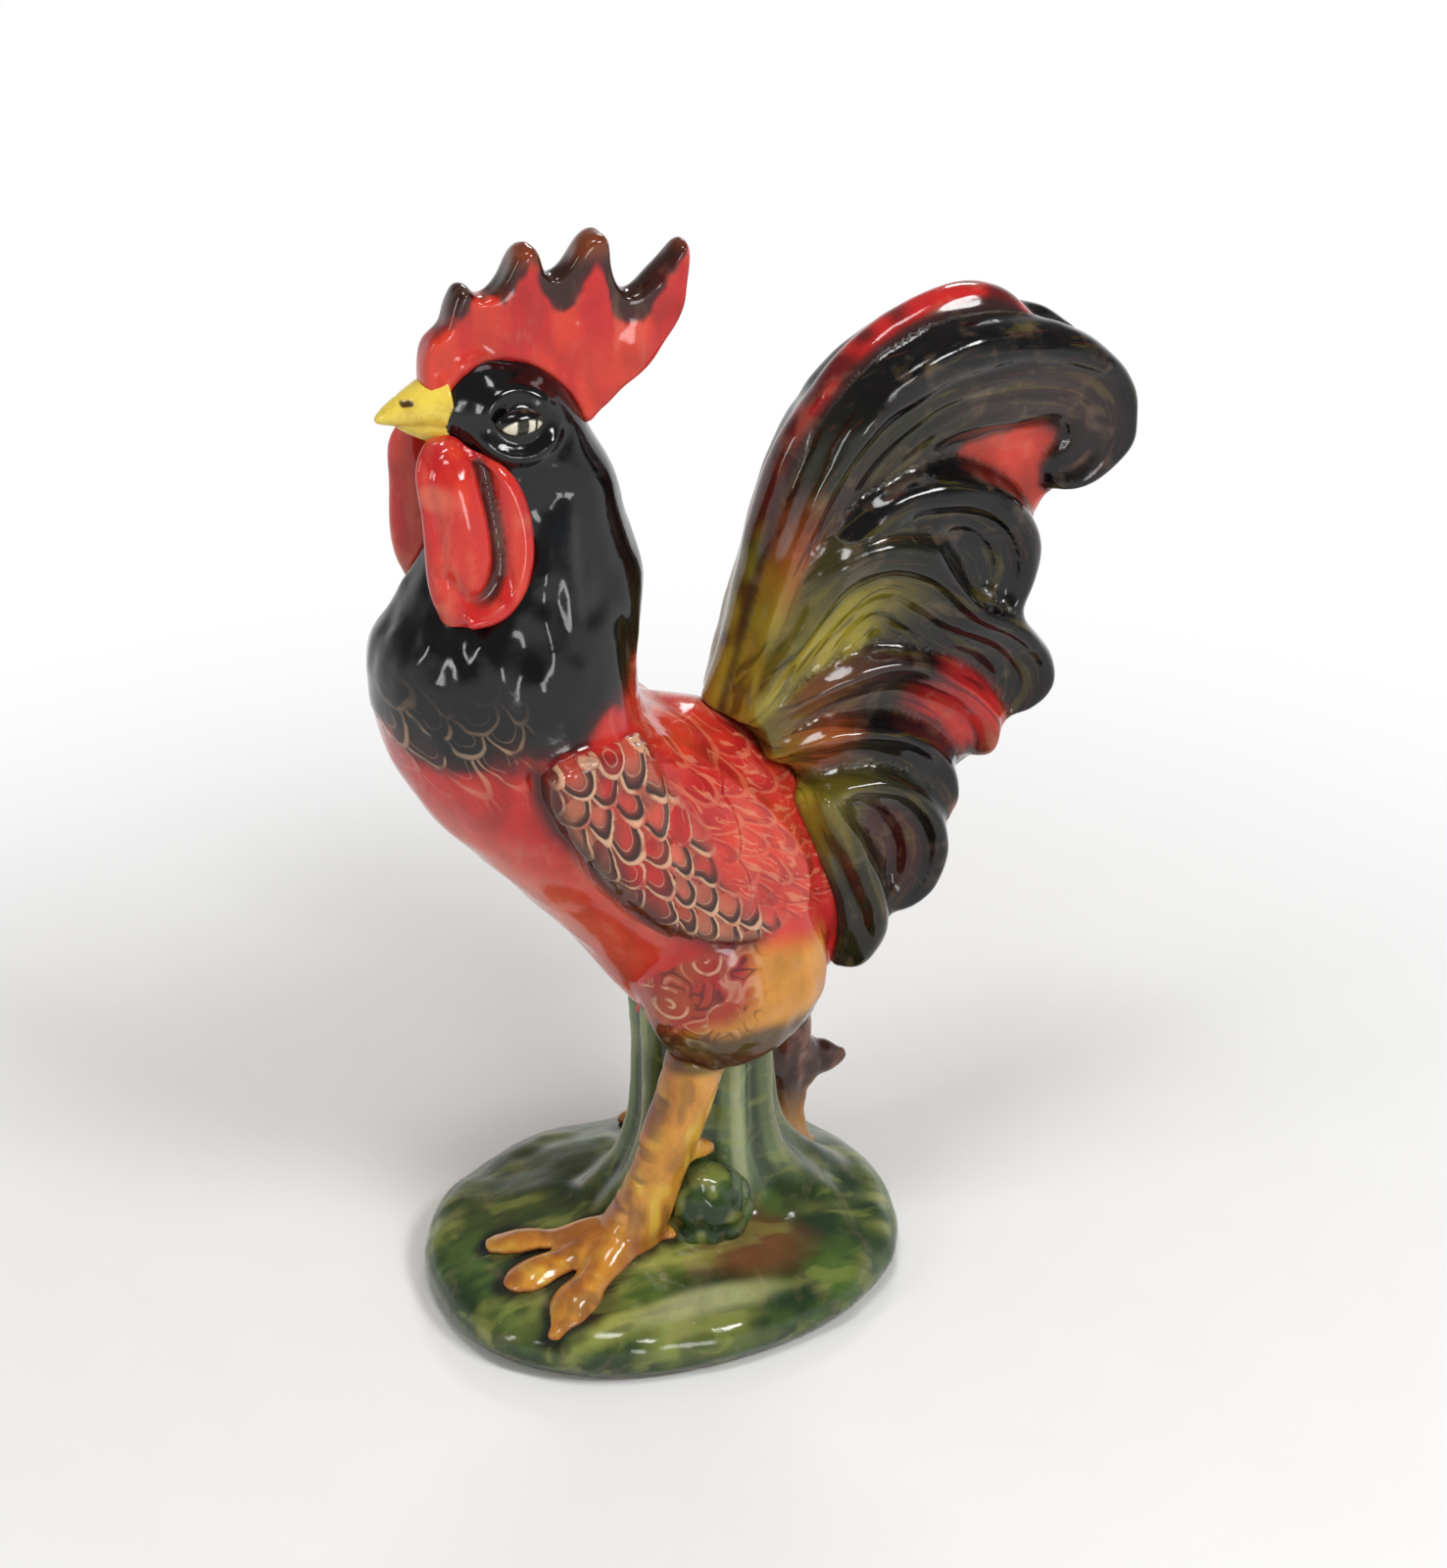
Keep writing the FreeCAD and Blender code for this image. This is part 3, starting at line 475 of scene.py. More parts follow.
class Nodes:
    """Builds the nodes of a material or of the world."""

    def __init__(self, owner, output):
        owner.use_nodes = True
        self.tree = owner.node_tree
        self.tree.nodes.clear()
        self.output = self.add(output)

    def add(self, kind, **inputs):
        """A new node, with a value or a link for each input that is named."""
        node = self.tree.nodes.new("ShaderNode" + kind)
        for name, value in inputs.items():
            self.put(node.inputs[name.replace("_", " ")], value)
        return node

    def put(self, socket, value):
        if isinstance(value, Value):
            self.tree.links.new(value.socket, socket)
        elif isinstance(value, np.ndarray):
            socket.default_value = (*value, 1.0)
        elif value is not None:
            socket.default_value = value

    def math(self, operation, first, second=None, third=None):
        node = self.add("Math")
        node.operation = operation
        for socket, value in zip(node.inputs, (first, second, third)):
            self.put(socket, value)
        return Value(self, node.outputs[0])

    def larger(self, first, second):
        return self.math("MAXIMUM", first, second)

    def step(self, value, low, high, start=0.0, end=1.0):
        """A smooth step from the start, at the low value, to the end, at the high one."""
        node = self.add("MapRange", Value=value, From_Min=low, From_Max=high, To_Min=start, To_Max=end)
        node.interpolation_type = "SMOOTHSTEP"
        return Value(self, node.outputs["Result"])

    def mix(self, share, first, second):
        node = self.add("Mix")
        node.data_type = "RGBA"
        for name, value in (("Factor", share), ("A", first), ("B", second)):
            self.put(node.inputs[name], value)
        return Value(self, node.outputs["Result"])

    def noise(self, vector, scale, detail=2.0, distortion=0.0):
        node = self.add("TexNoise", Vector=vector, Scale=scale, Detail=detail, Distortion=distortion)
        return Value(self, node.outputs["Fac"])

    def place(self, kind="Object"):
        return Value(self, self.add("TexCoord").outputs[kind])

    def stored(self, name, output="Fac"):
        node = self.add("Attribute")
        node.attribute_name = name
        return Value(self, node.outputs[output])

    def vector_math(self, operation, output, first, second=None):
        node = self.add("VectorMath")
        node.operation = operation
        self.put(node.inputs[0], first)
        self.put(node.inputs[1], second)
        return Value(self, node.outputs[output])

    def scaled(self, vector, factors):
        return self.vector_math("MULTIPLY", "Vector", vector, factors)

    def parts(self, vector):
        return [Value(self, output) for output in self.add("SeparateXYZ", Vector=vector).outputs]

    def bump(self, height, distance, strength=1.0, before=None):
        node = self.add("Bump", Height=height, Distance=distance, Strength=strength, Normal=before)
        return Value(self, node.outputs[0])

    def thin_line(self, value, middle, width):
        """A share that is 1 where the value is the middle, and falls to 0 over the width."""
        return self.step(self.math("ABSOLUTE", value - middle), width, width * 0.3)

    def seen(self):
        """1 for rays from the camera, a reflection or clear glass, and 0 for light on the object."""
        rays = self.add("LightPath").outputs
        camera, glossy, clear = [Value(self, rays["Is %s Ray" % kind]) for kind in RAY_KINDS]
        return self.larger(self.larger(camera, glossy), clear)

    def choose(self, share, first, second):
        """Gives the output a mix of two shaders."""
        node = self.add("MixShader")
        self.put(node.inputs[0], share)
        self.tree.links.new(first.outputs[0], node.inputs[1])
        self.tree.links.new(second.outputs[0], node.inputs[2])
        self.tree.links.new(node.outputs[0], self.output.inputs["Surface"])


class Shader(Nodes):
    """A material with one surface, and with a colour that is laid on in coats."""

    def __init__(self, name):
        self.material = bpy.data.materials.new(name)
        super().__init__(self.material, "OutputMaterial")
        self.surface = self.add("BsdfPrincipled")
        self.tree.links.new(self.surface.outputs[0], self.output.inputs["Surface"])
        self.here = self.place()
        self.colour = None

    def lay(self, share, colour):
        self.colour = self.mix(share, self.colour, colour)

    def tone(self, share, amount, tint):
        """Lays on the colour so far with a part of a tint in it."""
        self.lay(share, self.mix(amount, self.colour, tint))

    def glaze(self, bump=None):
        """Finishes the material as glossy fired glaze: brushed, mottled and slightly uneven."""
        blotch = self.noise(self.here, 85.0, 4.0)
        self.tone(self.step(blotch, 0.50, 0.72) * 0.35, 0.5, BLACK)
        speck = self.noise(self.here, 620.0, 2.0)
        self.tone(self.step(speck, 0.60, 0.74) * 0.30, 0.5, DARK_BROWN)
        roughness = self.math("MULTIPLY_ADD", blotch, GLAZE_ROUGHNESS, GLAZE_ROUGHNESS * 0.5)
        waves = self.bump(self.noise(self.here, 60.0, 1.0), 1.4 * MM, 0.6, bump)
        pits = self.bump(self.noise(self.here, 420.0, 1.0), 0.12 * MM, 0.5, waves)
        inputs = {"Base Color": self.colour, "Roughness": roughness, "Normal": pits, "IOR": GLAZE_IOR,
                  "Coat Weight": COAT_WEIGHT, "Coat Roughness": COAT_ROUGHNESS}
        for name, value in inputs.items():
            self.put(self.surface.inputs[name], value)
        return self.material


def painted_glaze(piece, name, paint, rounds, streak_sizes, streak_scale):
    """A glaze in the paint of the vertices, with brush strokes, and creases darkened by pooled glaze and
    painted shade.
    """
    store(piece, "paint", paint)
    store(piece, "hollow", hollows(piece, rounds))
    shader = Shader(name)
    shader.colour = shader.stored("paint", "Vector")
    stroke = shader.noise(shader.scaled(shader.here, streak_sizes), streak_scale, 3.0, 0.4)
    shader.tone(shader.step(stroke, 0.50, 0.68) * 0.30, 0.45, DARK_BROWN)
    shader.tone(shader.step(stroke, 0.46, 0.30) * 0.16, 0.5, CREAM)
    # Creases darkened towards black: partly glaze pooled in them, partly painted shade
    shader.tone(shader.step(shader.stored("hollow"), 0.12, 0.55) * 0.65, 0.7, BLACK)
    return shader


def finish_piece(piece, material, nodes):
    piece.data.polygons.foreach_set("use_smooth", [True] * len(piece.data.polygons))
    piece.data.update()
    piece.data.materials.clear()
    piece.data.materials.append(material)
    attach(piece, "root")
    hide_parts(*nodes)


def finish_painted(piece, name, paint, rounds, streak_sizes, streak_scale, nodes):
    """Finishes a piece whose glaze has no more than paint, strokes and creases."""
    shader = painted_glaze(piece, name, paint, rounds, streak_sizes, streak_scale)
    finish_piece(piece, shader.glaze(), nodes)


# Body, wings and thighs, in places of the side view

# Middle of the grass column along the body
COLUMN_X = 12.0
# Lower edge of the black glaze, from the chest to the back of the neck
BLACK_EDGE = ((-78, 181), (-60, 174), (-46, 179), (-34, 180), (-27, 186), (-18, 189), (-5, 200))
# Front and lower edge of the wing, and the rear end of its crescent feathers
WING_EDGE = ((-45, 183), (-44, 171), (-40, 161), (-33, 152), (-25, 141), (-17, 132), (-8, 125), (4, 120),
             (17, 117))
CRESCENT_REGION = ((-46, 188), (-18, 191), (-15, 172), (-8, 161), (-1, 149), (3, 136), (12, 128), (22, 121),
                   (16, 115), (3, 118), (-10, 122), (-27, 138), (-42, 158), (-48, 172))
# Golden part of the thigh
OCHRE_REGION = ((12, 116), (36, 112), (36, 84), (-8, 84), (-6, 93), (5, 96), (11, 102))
# Part of the back with long brushed feathers
QUILL_REGION = ((-16, 196), (-12, 172), (0, 150), (8, 132), (24, 120), (46, 118), (46, 168), (16, 190))
# Part of the thigh with swirls
SWIRL_REGION = ((-24, 120), (-20, 100), (-8, 88), (10, 92), (14, 104), (14, 118), (0, 124))
# Middle, radius and distance between the turns of each spiral on the thigh
THIGH_SPIRALS = ((-10.0, 101.0, 7.0, 3.2), (3.5, 98.0, 6.2, 2.9), (-1.0, 114.0, 7.2, 3.3),
                 (-17.0, 112.0, 5.4, 2.8))
# Start and steps of the shoulder feathers: across a row, and from row to row
SCALE_START = (-43.0, 181.0)
SCALE_ACROSS = (7.4, 3.4)
SCALE_DOWN = (3.4, -6.8)
# Half width and length of a feather, in these steps
FEATHER_HALF_WIDTH = 0.5
FEATHER_LENGTH = 1.45


def scale_place(places, points):
    """Feather coordinates on wing and chest: across the rows, and from row to row, slightly uneven."""
    x = places[:, 0] - SCALE_START[0]
    z = places[:, 1] - SCALE_START[1]
    size = SCALE_ACROSS[0] * SCALE_DOWN[1] - SCALE_ACROSS[1] * SCALE_DOWN[0]
    across = (x * SCALE_DOWN[1] - z * SCALE_DOWN[0]) / size
    down = (SCALE_ACROSS[0] * z - SCALE_ACROSS[1] * x) / size
    across += 0.34 * lumps(points, 13, 11) + 0.10 * lumps(points, 4, 12)
    down += 0.42 * lumps(points, 15, 13) + 0.12 * lumps(points, 4, 14)
    return across, down


def scale_reach(across, down):
    """0 in the middle of a feather's root and 1 at its rounded end, for overlapping rows."""
    row = np.floor(down)
    rest = down - row

    def reach(number, below):
        shifted = across + 0.5 * np.mod(number, 2)
        along = shifted - np.floor(shifted) - 0.5
        return np.sqrt((along / FEATHER_HALF_WIDTH) ** 2 + (below / FEATHER_LENGTH) ** 2)

    upper = reach(row - 1, rest + 1)
    return np.where(upper < 1, upper, np.minimum(reach(row, rest), 1.2))


def body_paint(points, normals, places, wing, thigh):
    x, z = places.T
    blotch = lumps(points, 16, 21)
    fine = lumps(points, 6, 22)
    rear = ease(-30, 10, x + 0.6 * (z - 150))
    paint = blend(ease(-0.5, 0.6, blotch) * (0.25 + 0.75 * rear), RED, ORANGE_RED)
    belly = ease(0.30, 0.90, -normals[:, 2])
    crescents = patch(places, CRESCENT_REGION, 4.0) * wing
    side, way, length = follow(places, WING_EDGE)
    ends_off = ease(0, 8, way) * ease(0, 6, length - way)
    flank = np.abs(points[:, 1]) > 14 * MM
    shadow = ease(-4.5, -1.0, side) * ease(8.5, 2.0, side) * flank * ends_off
    ochre = patch(places, OCHRE_REGION, 4.0) * thigh
    brown = patch(places, SWIRL_REGION, 4.0) * ease(0.2, 0.7, thigh)
    # Darker along the lower edge of the thigh
    low_thigh_dark = ease(95, 89, z + fine) * thigh
    mottle = ease(-0.4, 0.6, fine)
    return layers(
        paint,
        (0.5 * ease(0.1, 0.8, fine), DEEP_RED),
        (0.75 * belly, PEACH),
        (0.85 * crescents, blend(ease(-0.3, 0.5, blotch + fine), WINE, RED)),
        (0.9 * shadow, DARK_BROWN),
        (0.75 * brown, blend(mottle, RUST, DEEP_RED)),
        (0.95 * ochre, blend(mottle, OCHRE, GOLD)),
        (0.88 * low_thigh_dark, OLIVE_BLACK))


# Long raised folds down each side of the neck
NECK_RIDGES = (((-28, 246), (-30, 236), (-32, 226), (-33, 216), (-31, 206)),
               ((-38, 234), (-38, 222), (-39, 210), (-40, 200), (-43, 190)))
# Back of the neck, as pairs of a height and a place across
NAPE_LINE = ((200, -3), (210, -6), (222, -9), (234, -13), (243, -19), (250, -24), (260, -30))


def face_relief(points, places):
    """Heights in metres of the eye sockets, cheek rings, brows and neck folds."""
    x, z = places.T
    off = places - np.array([EYE_PLACE])
    gap = np.hypot(off[:, 0], off[:, 1] * 1.15)
    turn = np.degrees(np.arctan2(off[:, 1], off[:, 0]))
    side = ease(5 * MM, 10 * MM, np.abs(points[:, 1])) * ease(238, 246, z)
    below = ease(-5, -40, turn) * ease(-178, -150, turn)
    above = ease(5, 35, turn) * ease(180, 165, turn)
    socket = -0.9 * bump_at(gap, 5.5, 2.4)
    ring = 1.5 * bump_at(gap, 9.6, 2.0) * below
    valley = -0.8 * bump_at(gap, 13.2, 1.6) * below
    brow = 1.1 * bump_at(gap, 8.2, 2.0) * above
    head = (socket + ring + valley + brow) * side
    long_folds = 1.5 * lumps(points, 7.5, 31, (1.0, 1.0, 0.28))
    folds = long_folds + 0.6 * lumps(points, 4, 32, (1.0, 1.0, 0.5)) + 0.4 * lumps(points, 6.5, 35)
    for line in NECK_RIDGES:
        across, way, length = follow(places, bend(line))
        ends_off = ease(0, 8, way) * ease(0, 8, length - way)
        folds += 1.5 * bump_at(across, 0.0, 2.6) * ends_off
    nape = ease(-14, -5, x - read_line(NAPE_LINE, z)) * ease(200, 212, z)
    fill = 2.6 * bump_at(z, 242, 9) * nape
    wattle_gap = nearest(["wattle_left", "wattle_right"], points, 8 * MM)[1]
    beside = ease(7 * MM, 2 * MM, wattle_gap) * ease(250, 240, z)
    neck = ease(186, 206, z) * ease(250, 238, z) * (1 - 0.85 * nape) * (1 - beside)
    collar = -0.7 * bump_at(z + 0.35 * (x + 30), 244, 2.2) * ease(-46, -40, x) * (1 - nape)
    return (head + neck * folds + collar + fill - 0.9 * beside) * MM


def make_body():
    nodes = ["torso", "neck", "head", "thigh_left", "thigh_right", "wing_left", "wing_right"]
    plug = ball((COLUMN_X * MM, 0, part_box("torso")[0].z + 3.0 * MM), (20 * MM, 12 * MM, 3.5 * MM))
    body = dress("body", nodes, BODY_VOXEL, 4, [plug])
    points = vertex_array(body)
    places = side_view(points)
    x, z = places.T
    number = nearest(nodes, points, 6 * MM)[0]
    ends = edge_array(body)
    thigh = ((number == 3) | (number == 4)).astype(float)
    wing = ((number == 5) | (number == 6)).astype(float)
    # Joints of thighs and wings, and the back of the neck, made soft
    side, way, length = follow(places, WING_EDGE)
    thigh_seam = seam(thigh, ends, 14, 6)
    wing_seam = seam(wing, ends, 14, 6) * (0.12 + 0.88 * ease(2, 12, side))
    soften(body, 60, np.maximum(thigh_seam, wing_seam))
    soften(body, 110, thigh_seam)
    soften(body, 90, ease(-42, -34, x) * ease(218, 228, z) * ease(266, 260, z))
    # Feathers, wing edge, face and folds as relief
    points = vertex_array(body)
    normals = normal_array(body)
    thigh = neighbour_mean(thigh, ends, 6)
    wing = neighbour_mean(wing, ends, 6)
    crescents = patch(places, CRESCENT_REGION, 3.0) * ease(0.3, 0.9, wing)
    across, down = scale_place(places, points)
    lift = scale_reach(across, down)
    lift = np.where(lift < 1, lift, 0.0)
    chest = bump_at(black_depth(places), 4, 9) * ease(-44, -52, x)
    flank = ease(8, 16, np.abs(points[:, 1]) / MM) * ease(0, 8, way) * ease(0, 6, length - way)
    edge = (0.9 * bump_at(side, 3.0, 2.6) - 1.5 * bump_at(side, -1.5, 2.2)) * flank
    heights = 0.95 * MM * (lift * crescents) + 0.45 * MM * lumps(points, 9, 3) + edge * MM
    heights += 0.3 * MM * lift * chest
    heights += face_relief(points, places)
    curl = lumps(points, 5, 41) * thigh * ease(118, 108, z)
    push(body, heights + 0.5 * MM * curl)
    soften(body, 8, ease(188, 200, z) * ease(256, 248, z))
    # Fields that the glaze reads
    points = vertex_array(body)
    crescents = crescents * ease(0.5, 4.0, side)
    along = (0.83 * (x + 20) - 0.56 * (z - 190)) + 2.0 * lumps(points, 12, 33)
    beside = (0.56 * (x + 20) + 0.83 * (z - 190)) + 2.0 * lumps(points, 12, 34)
    paint = body_paint(points, neighbour_mean(normals, ends, 40), places, wing, thigh)
    fields = {"black": black_depth(places),
              "scales": np.stack([across, down, crescents], axis=1),
              "quills": patch(places, QUILL_REGION, 3.0) * (1 - crescents) * (1 - 0.6 * thigh),
              "swirls": patch(places, SWIRL_REGION, 3.0) * ease(0.15, 0.6, thigh),
              "saddle": np.stack([beside / 7.5, along / 11.0, 0 * along], axis=1),
              "chest": chest}
    for name, values in fields.items():
        store(body, name, values)
    paint = neighbour_mean(paint, ends, 3)
    shader = painted_glaze(body, "body_glaze", paint, 10, (1.0, 1.0, 0.5), 140.0)
    finish_piece(body, body_material(shader), nodes)


def black_depth(places):
    """Height above the lower edge of the black glaze, in millimetres."""
    return places[:, 1] - read_line(BLACK_EDGE, places[:, 0])


def body_material(shader):
    """Brushed feathers, curls and black glaze over the paint of the body."""
    # Long saddle feathers with brushed barbs, and curls on the thigh
    saddle = shader.stored("saddle", "Vector")
    beside, along = shader.parts(saddle)[:2]
    hackle, shade = scale_pattern(shader, beside, along)[:2]
    barbs = shader.noise(shader.scaled(saddle, (3.4, 0.9, 1.0)), 1.6, 2.0, 0.8)
    brushed = shader.larger(hackle * 0.6, shader.step(barbs, 0.55, 0.64))
    quills = shader.stored("quills")
    shader.lay(shade * quills * 0.5, DEEP_RED)
    shader.lay(brushed * quills * 0.55, PEACH)
    curls = shader.noise(shader.here, 85.0, 1.0, 1.8)
    swirls = shader.stored("swirls")
    spiral, disc = spirals(shader, curls)
    curl = shader.step(curls, 0.53, 0.60) * shader.step(curls, 0.72, 0.62)
    curl = shader.larger(curl * (0.5 - disc), spiral)
    shader.lay(curl * swirls * 0.62, CREAM)
    dark_curl = shader.thin_line(curls, 0.46, 0.04) * (swirls - disc)
    shader.lay(dark_curl * 0.7, MAROON)
    # Rounded shoulder feathers
    across, down, crescents = shader.parts(shader.stored("scales", "Vector"))
    rim, crescent, tint = scale_pattern(shader, across, down)
    shader.lay(tint * crescents * 0.45, shader.mix(shader.step(tint, 0.3, 0.7), WINE, PEACH))
    shader.lay(crescent * crescents, DARK_BROWN)
    shader.lay(rim * crescents * 0.7, CREAM)
    # Black glaze of head, neck and chest over a soft dark red edge
    edge = shader.math("MULTIPLY_ADD", shader.noise(shader.here, 75.0, 3.0), 20.0, -10.0)
    depth = shader.stored("black") + edge
    black = shader.mix(shader.step(shader.noise(shader.here, 50.0, 3.0), 0.40, 0.80), BLACK, SOFT_BLACK)
    shader.lay(shader.step(depth, -3.0, 3.0), shader.mix(shader.step(depth, 0.0, 9.0), MAROON, black))
    shader.lay(rim * shader.stored("chest") * 0.40, CREAM)
    return shader.glaze(shader.bump(rim * crescents, 0.25 * MM, 0.6))


def spirals(shader, noise):
    """Shares of the cream spiral lines on the thigh, and of the discs that they fill."""
    x, z = shader.parts(shader.here)[::2]
    lines = 0.0
    discs = 0.0
    for middle_x, middle_z, size, pitch in THIGH_SPIRALS:
        across = x - middle_x * MM
        up = z - middle_z * MM
        far = shader.math("SQRT", across ** 2.0 + up ** 2.0)
        far = shader.math("MULTIPLY_ADD", noise, 1.4 * MM, far)
        turn = shader.math("ARCTAN2", up, across) / (2 * math.pi)
        phase = shader.math("FRACT", far / (pitch * MM) - turn)
        disc = shader.step(far, size * MM, (size - 1.2) * MM)
        lines = shader.larger(shader.thin_line(phase, 0.5, 0.19) * disc, lines)
        discs = shader.larger(disc, discs)
    worn = shader.step(shader.noise(shader.here, 170.0, 2.0), 0.38, 0.52)
    return lines * worn, discs


def scale_pattern(shader, across, down):
    """Shares of the cream rim, the dark crescent and the tint of overlapping rounded feathers."""
    row = shader.math("FLOOR", down)
    rest = shader.math("FRACT", down)

    def reach(number, below):
        shifted = across + shader.math("FLOORED_MODULO", number, 2.0) * 0.5
        along = shader.math("FRACT", shifted) - 0.5
        size = shader.math("SQRT", (along / FEATHER_HALF_WIDTH) ** 2.0 + (below / FEATHER_LENGTH) ** 2.0)
        return size, shader.math("FLOOR", shifted) + number * 7.3

    upper, upper_name = reach(row - 1.0, rest + 1.0)
    own, own_name = reach(row, rest)
    over = shader.math("LESS_THAN", upper, 1.0)
    under = 1.0 - over
    far = over * upper + under * own
    chance = shader.add("TexWhiteNoise")
    chance.noise_dimensions = "1D"
    shader.put(chance.inputs["W"], over * upper_name + under * own_name)
    tint = Value(shader, chance.outputs["Value"])
    worn = shader.step(shader.noise(shader.here, 110.0, 2.0), 0.36, 0.50)
    rim = shader.step(far, 0.83, 0.88) * shader.step(far, 1.02, 0.95)
    rim = shader.larger(rim, shader.thin_line(far, 0.60, 0.035) * 0.45) * worn
    crescent = shader.step(far, 0.42, 0.80) * shader.step(far, 0.92, 0.85) * shader.step(tint, 0.10, 0.40)
    return rim, crescent, tint


# Tail

# Half width and quill line from the root of each feather, in millimetres, and the colours of its vane
# and of its rolled rim by the share of the way from root to tip
FEATHERS = {
    "upper_sickle": (
        16,
        ((19.6, 168), (29, 192), (38, 214), (49, 234), (64.5, 247), (82, 252.5), (99.6, 252.5),
         (113.3, 248.4), (119.6, 240), (117, 231), (111.5, 225.4), (107, 223)),
        ((0.0, YELLOW_OLIVE), (0.14, OLIVE), (0.24, RUST), (0.34, PLUM), (0.5, OLIVE_BLACK), (0.8, PLUM),
         (1.0, BLACK)),
        ((0.0, YELLOW_OLIVE), (0.16, YELLOW_OLIVE), (0.28, RUST), (0.38, OLIVE_BLACK), (0.5, BLACK),
         (1.0, BLACK))),
    "second_feather": (
        13.5,
        ((21, 170), (33, 188), (44, 203), (57, 215.5), (71, 218.3), (83, 214.4), (89.5, 205), (88, 194),
         (84, 186)),
        ((0.0, OLIVE), (0.15, OLIVE_BLACK), (0.3, PLUM), (0.6, BLACK), (1.0, BLACK)),
        ((0.0, OLIVE), (0.2, OLIVE_BLACK), (0.4, BLACK), (1.0, BLACK))),
    "hook_feather": (
        18.5,
        ((21.5, 169), (31, 182), (41, 194), (50.5, 202.5), (60.5, 201.6), (69.5, 195), (78.5, 188),
         (88.5, 182.4), (95.8, 175.5), (98, 167.4), (95.5, 161.4)),
        ((0.0, YELLOW_OLIVE), (0.30, YELLOW_OLIVE), (0.46, OLIVE), (0.56, OLIVE_BLACK), (0.66, BLACK),
         (1.0, BLACK)),
        ((0.0, OLIVE), (0.25, OLIVE), (0.40, OLIVE_BLACK), (0.52, BLACK), (1.0, BLACK))),
    "ridge_feather": (
        9,
        ((24, 164), (35, 171.4), (47, 175), (60, 175.5), (71, 170.5), (79.5, 163.4), (85, 155.4),
         (86, 149)),
        ((0.0, OLIVE), (0.2, UMBER), (0.40, PLUM), (0.52, OLIVE_BLACK), (0.62, DEEP_RED), (0.70, RED),
         (0.90, RED), (1.0, MAROON)),
        ((0.0, OLIVE), (0.2, UMBER), (0.45, PLUM), (0.58, BLACK), (0.66, DEEP_RED), (0.85, RED),
         (1.0, RUST))),
    "rump_feather": (
        9,
        ((24, 158.4), (36, 160), (49, 159.5), (60.5, 155), (69, 147.3), (73.5, 138.7), (75, 133)),
        ((0.0, YELLOW_OLIVE), (0.22, RUST), (0.42, OLIVE_BLACK), (0.6, BLACK), (0.85, BLACK), (1.0, RUST)),
        ((0.0, OLIVE), (0.25, RUST), (0.4, BLACK), (0.9, BLACK), (1.0, RUST))),
    "curled_feather": (
        11.5,
        ((36.5, 146), (48, 144), (58, 139.5), (64.2, 131), (65, 121.4), (60, 113), (55.7, 109)),
        ((0.0, YELLOW_OLIVE), (0.2, OLIVE), (0.34, MAROON), (0.7, MAROON), (1.0, OLIVE_BLACK)),
        ((0.0, OLIVE), (0.3, OLIVE_BLACK), (0.5, BLACK), (1.0, BLACK))),
    "tail_covert": (
        11.5,
        ((33, 148), (38, 133), (44, 118), (46.5, 106), (46.5, 98), (46, 93)),
        ((0.0, YELLOW_OLIVE), (0.25, OLIVE), (0.5, OLIVE_BLACK), (1.0, OLIVE_BLACK)),
        ((0.0, OLIVE), (0.4, OLIVE_BLACK), (1.0, BLACK))),
}
# Colours of the central blade by height, and its red patch inside the sickle's hook
BLADE_STOPS = ((196, YELLOW_OLIVE), (214, OLIVE), (226, RUST), (238, MAROON), (249, DEEP_RED), (257, RED))
RED_PATCH = ((75, 233), (88, 240), (103, 239), (116, 229), (115, 211), (101, 206), (87, 210), (76, 220))


def tail_fields(points, number, names):
    """Colour of each vertex, and its place across and along its feather, in millimetres."""
    places = side_view(points)
    edge = lumps(points, 7, 51)
    flat = ease(5.6 * MM, 4.6 * MM, np.abs(points[:, 1]))
    paint = layers(
        ramp(places[:, 1], BLADE_STOPS),
        (ease(0.0, 0.5, edge) * 0.85, MAROON),
        (1 - flat, PLUM),
        (patch(places, RED_PATCH, 1.5), ORANGE_RED))
    quill = np.zeros((len(points), 3))
    for index, name in enumerate(names[1:], 1):
        mine = number == index
        half, line, vane, rim = FEATHERS[name.rsplit("_", 1)[0]]
        side, way, length = follow(places[mine], bend(line))
        share = way / length
        across = side / half
        rolled = ease(0.12, 0.40, across + 0.08 * edge[mine])
        colour = blend(rolled, ramp(share, vane), ramp(share, rim))
        paint[mine] = blend(0.6 * ease(-0.55, -0.95, across), colour, PLUM)
        quill[mine] = np.stack([side, way, np.full(len(side), 11.0 * index)], axis=1)
    return paint, quill


def make_tail():
    names = ["tail_core"] + [kind + "_" + side for side in SIDES for kind in FEATHERS]
    tail = dress("tail", names, TAIL_VOXEL, 2)
    fill_creases(tail, 2.1 * MM, TAIL_VOXEL)
    soften(tail, 18)
    points = vertex_array(tail)
    number = nearest(names, points, 8 * MM)[0]
    paint, quill = tail_fields(points, number, names)
    waves = np.sin(quill[:, 0] * 0.95 + 2.4 * lumps(points, 16, 61))
    barbs = waves * ease(0.0, 0.4, np.abs(quill[:, 2]))
    coverts = [index for index, name in enumerate(names) if name.startswith("tail_covert")]
    ends = edge_array(tail)
    fat = neighbour_mean(1.4 * np.isin(number, coverts), ends, 30)
    push(tail, (fat + 0.26 * barbs + 0.45 * lumps(points, 8, 62)) * MM)
    store(tail, "quill", quill)
    paint = neighbour_mean(paint, ends, 4)
    shader = painted_glaze(tail, "tail_glaze", paint, 14, (1.0, 1.0, 1.0), 110.0)
    finish_piece(tail, tail_material(shader), names)


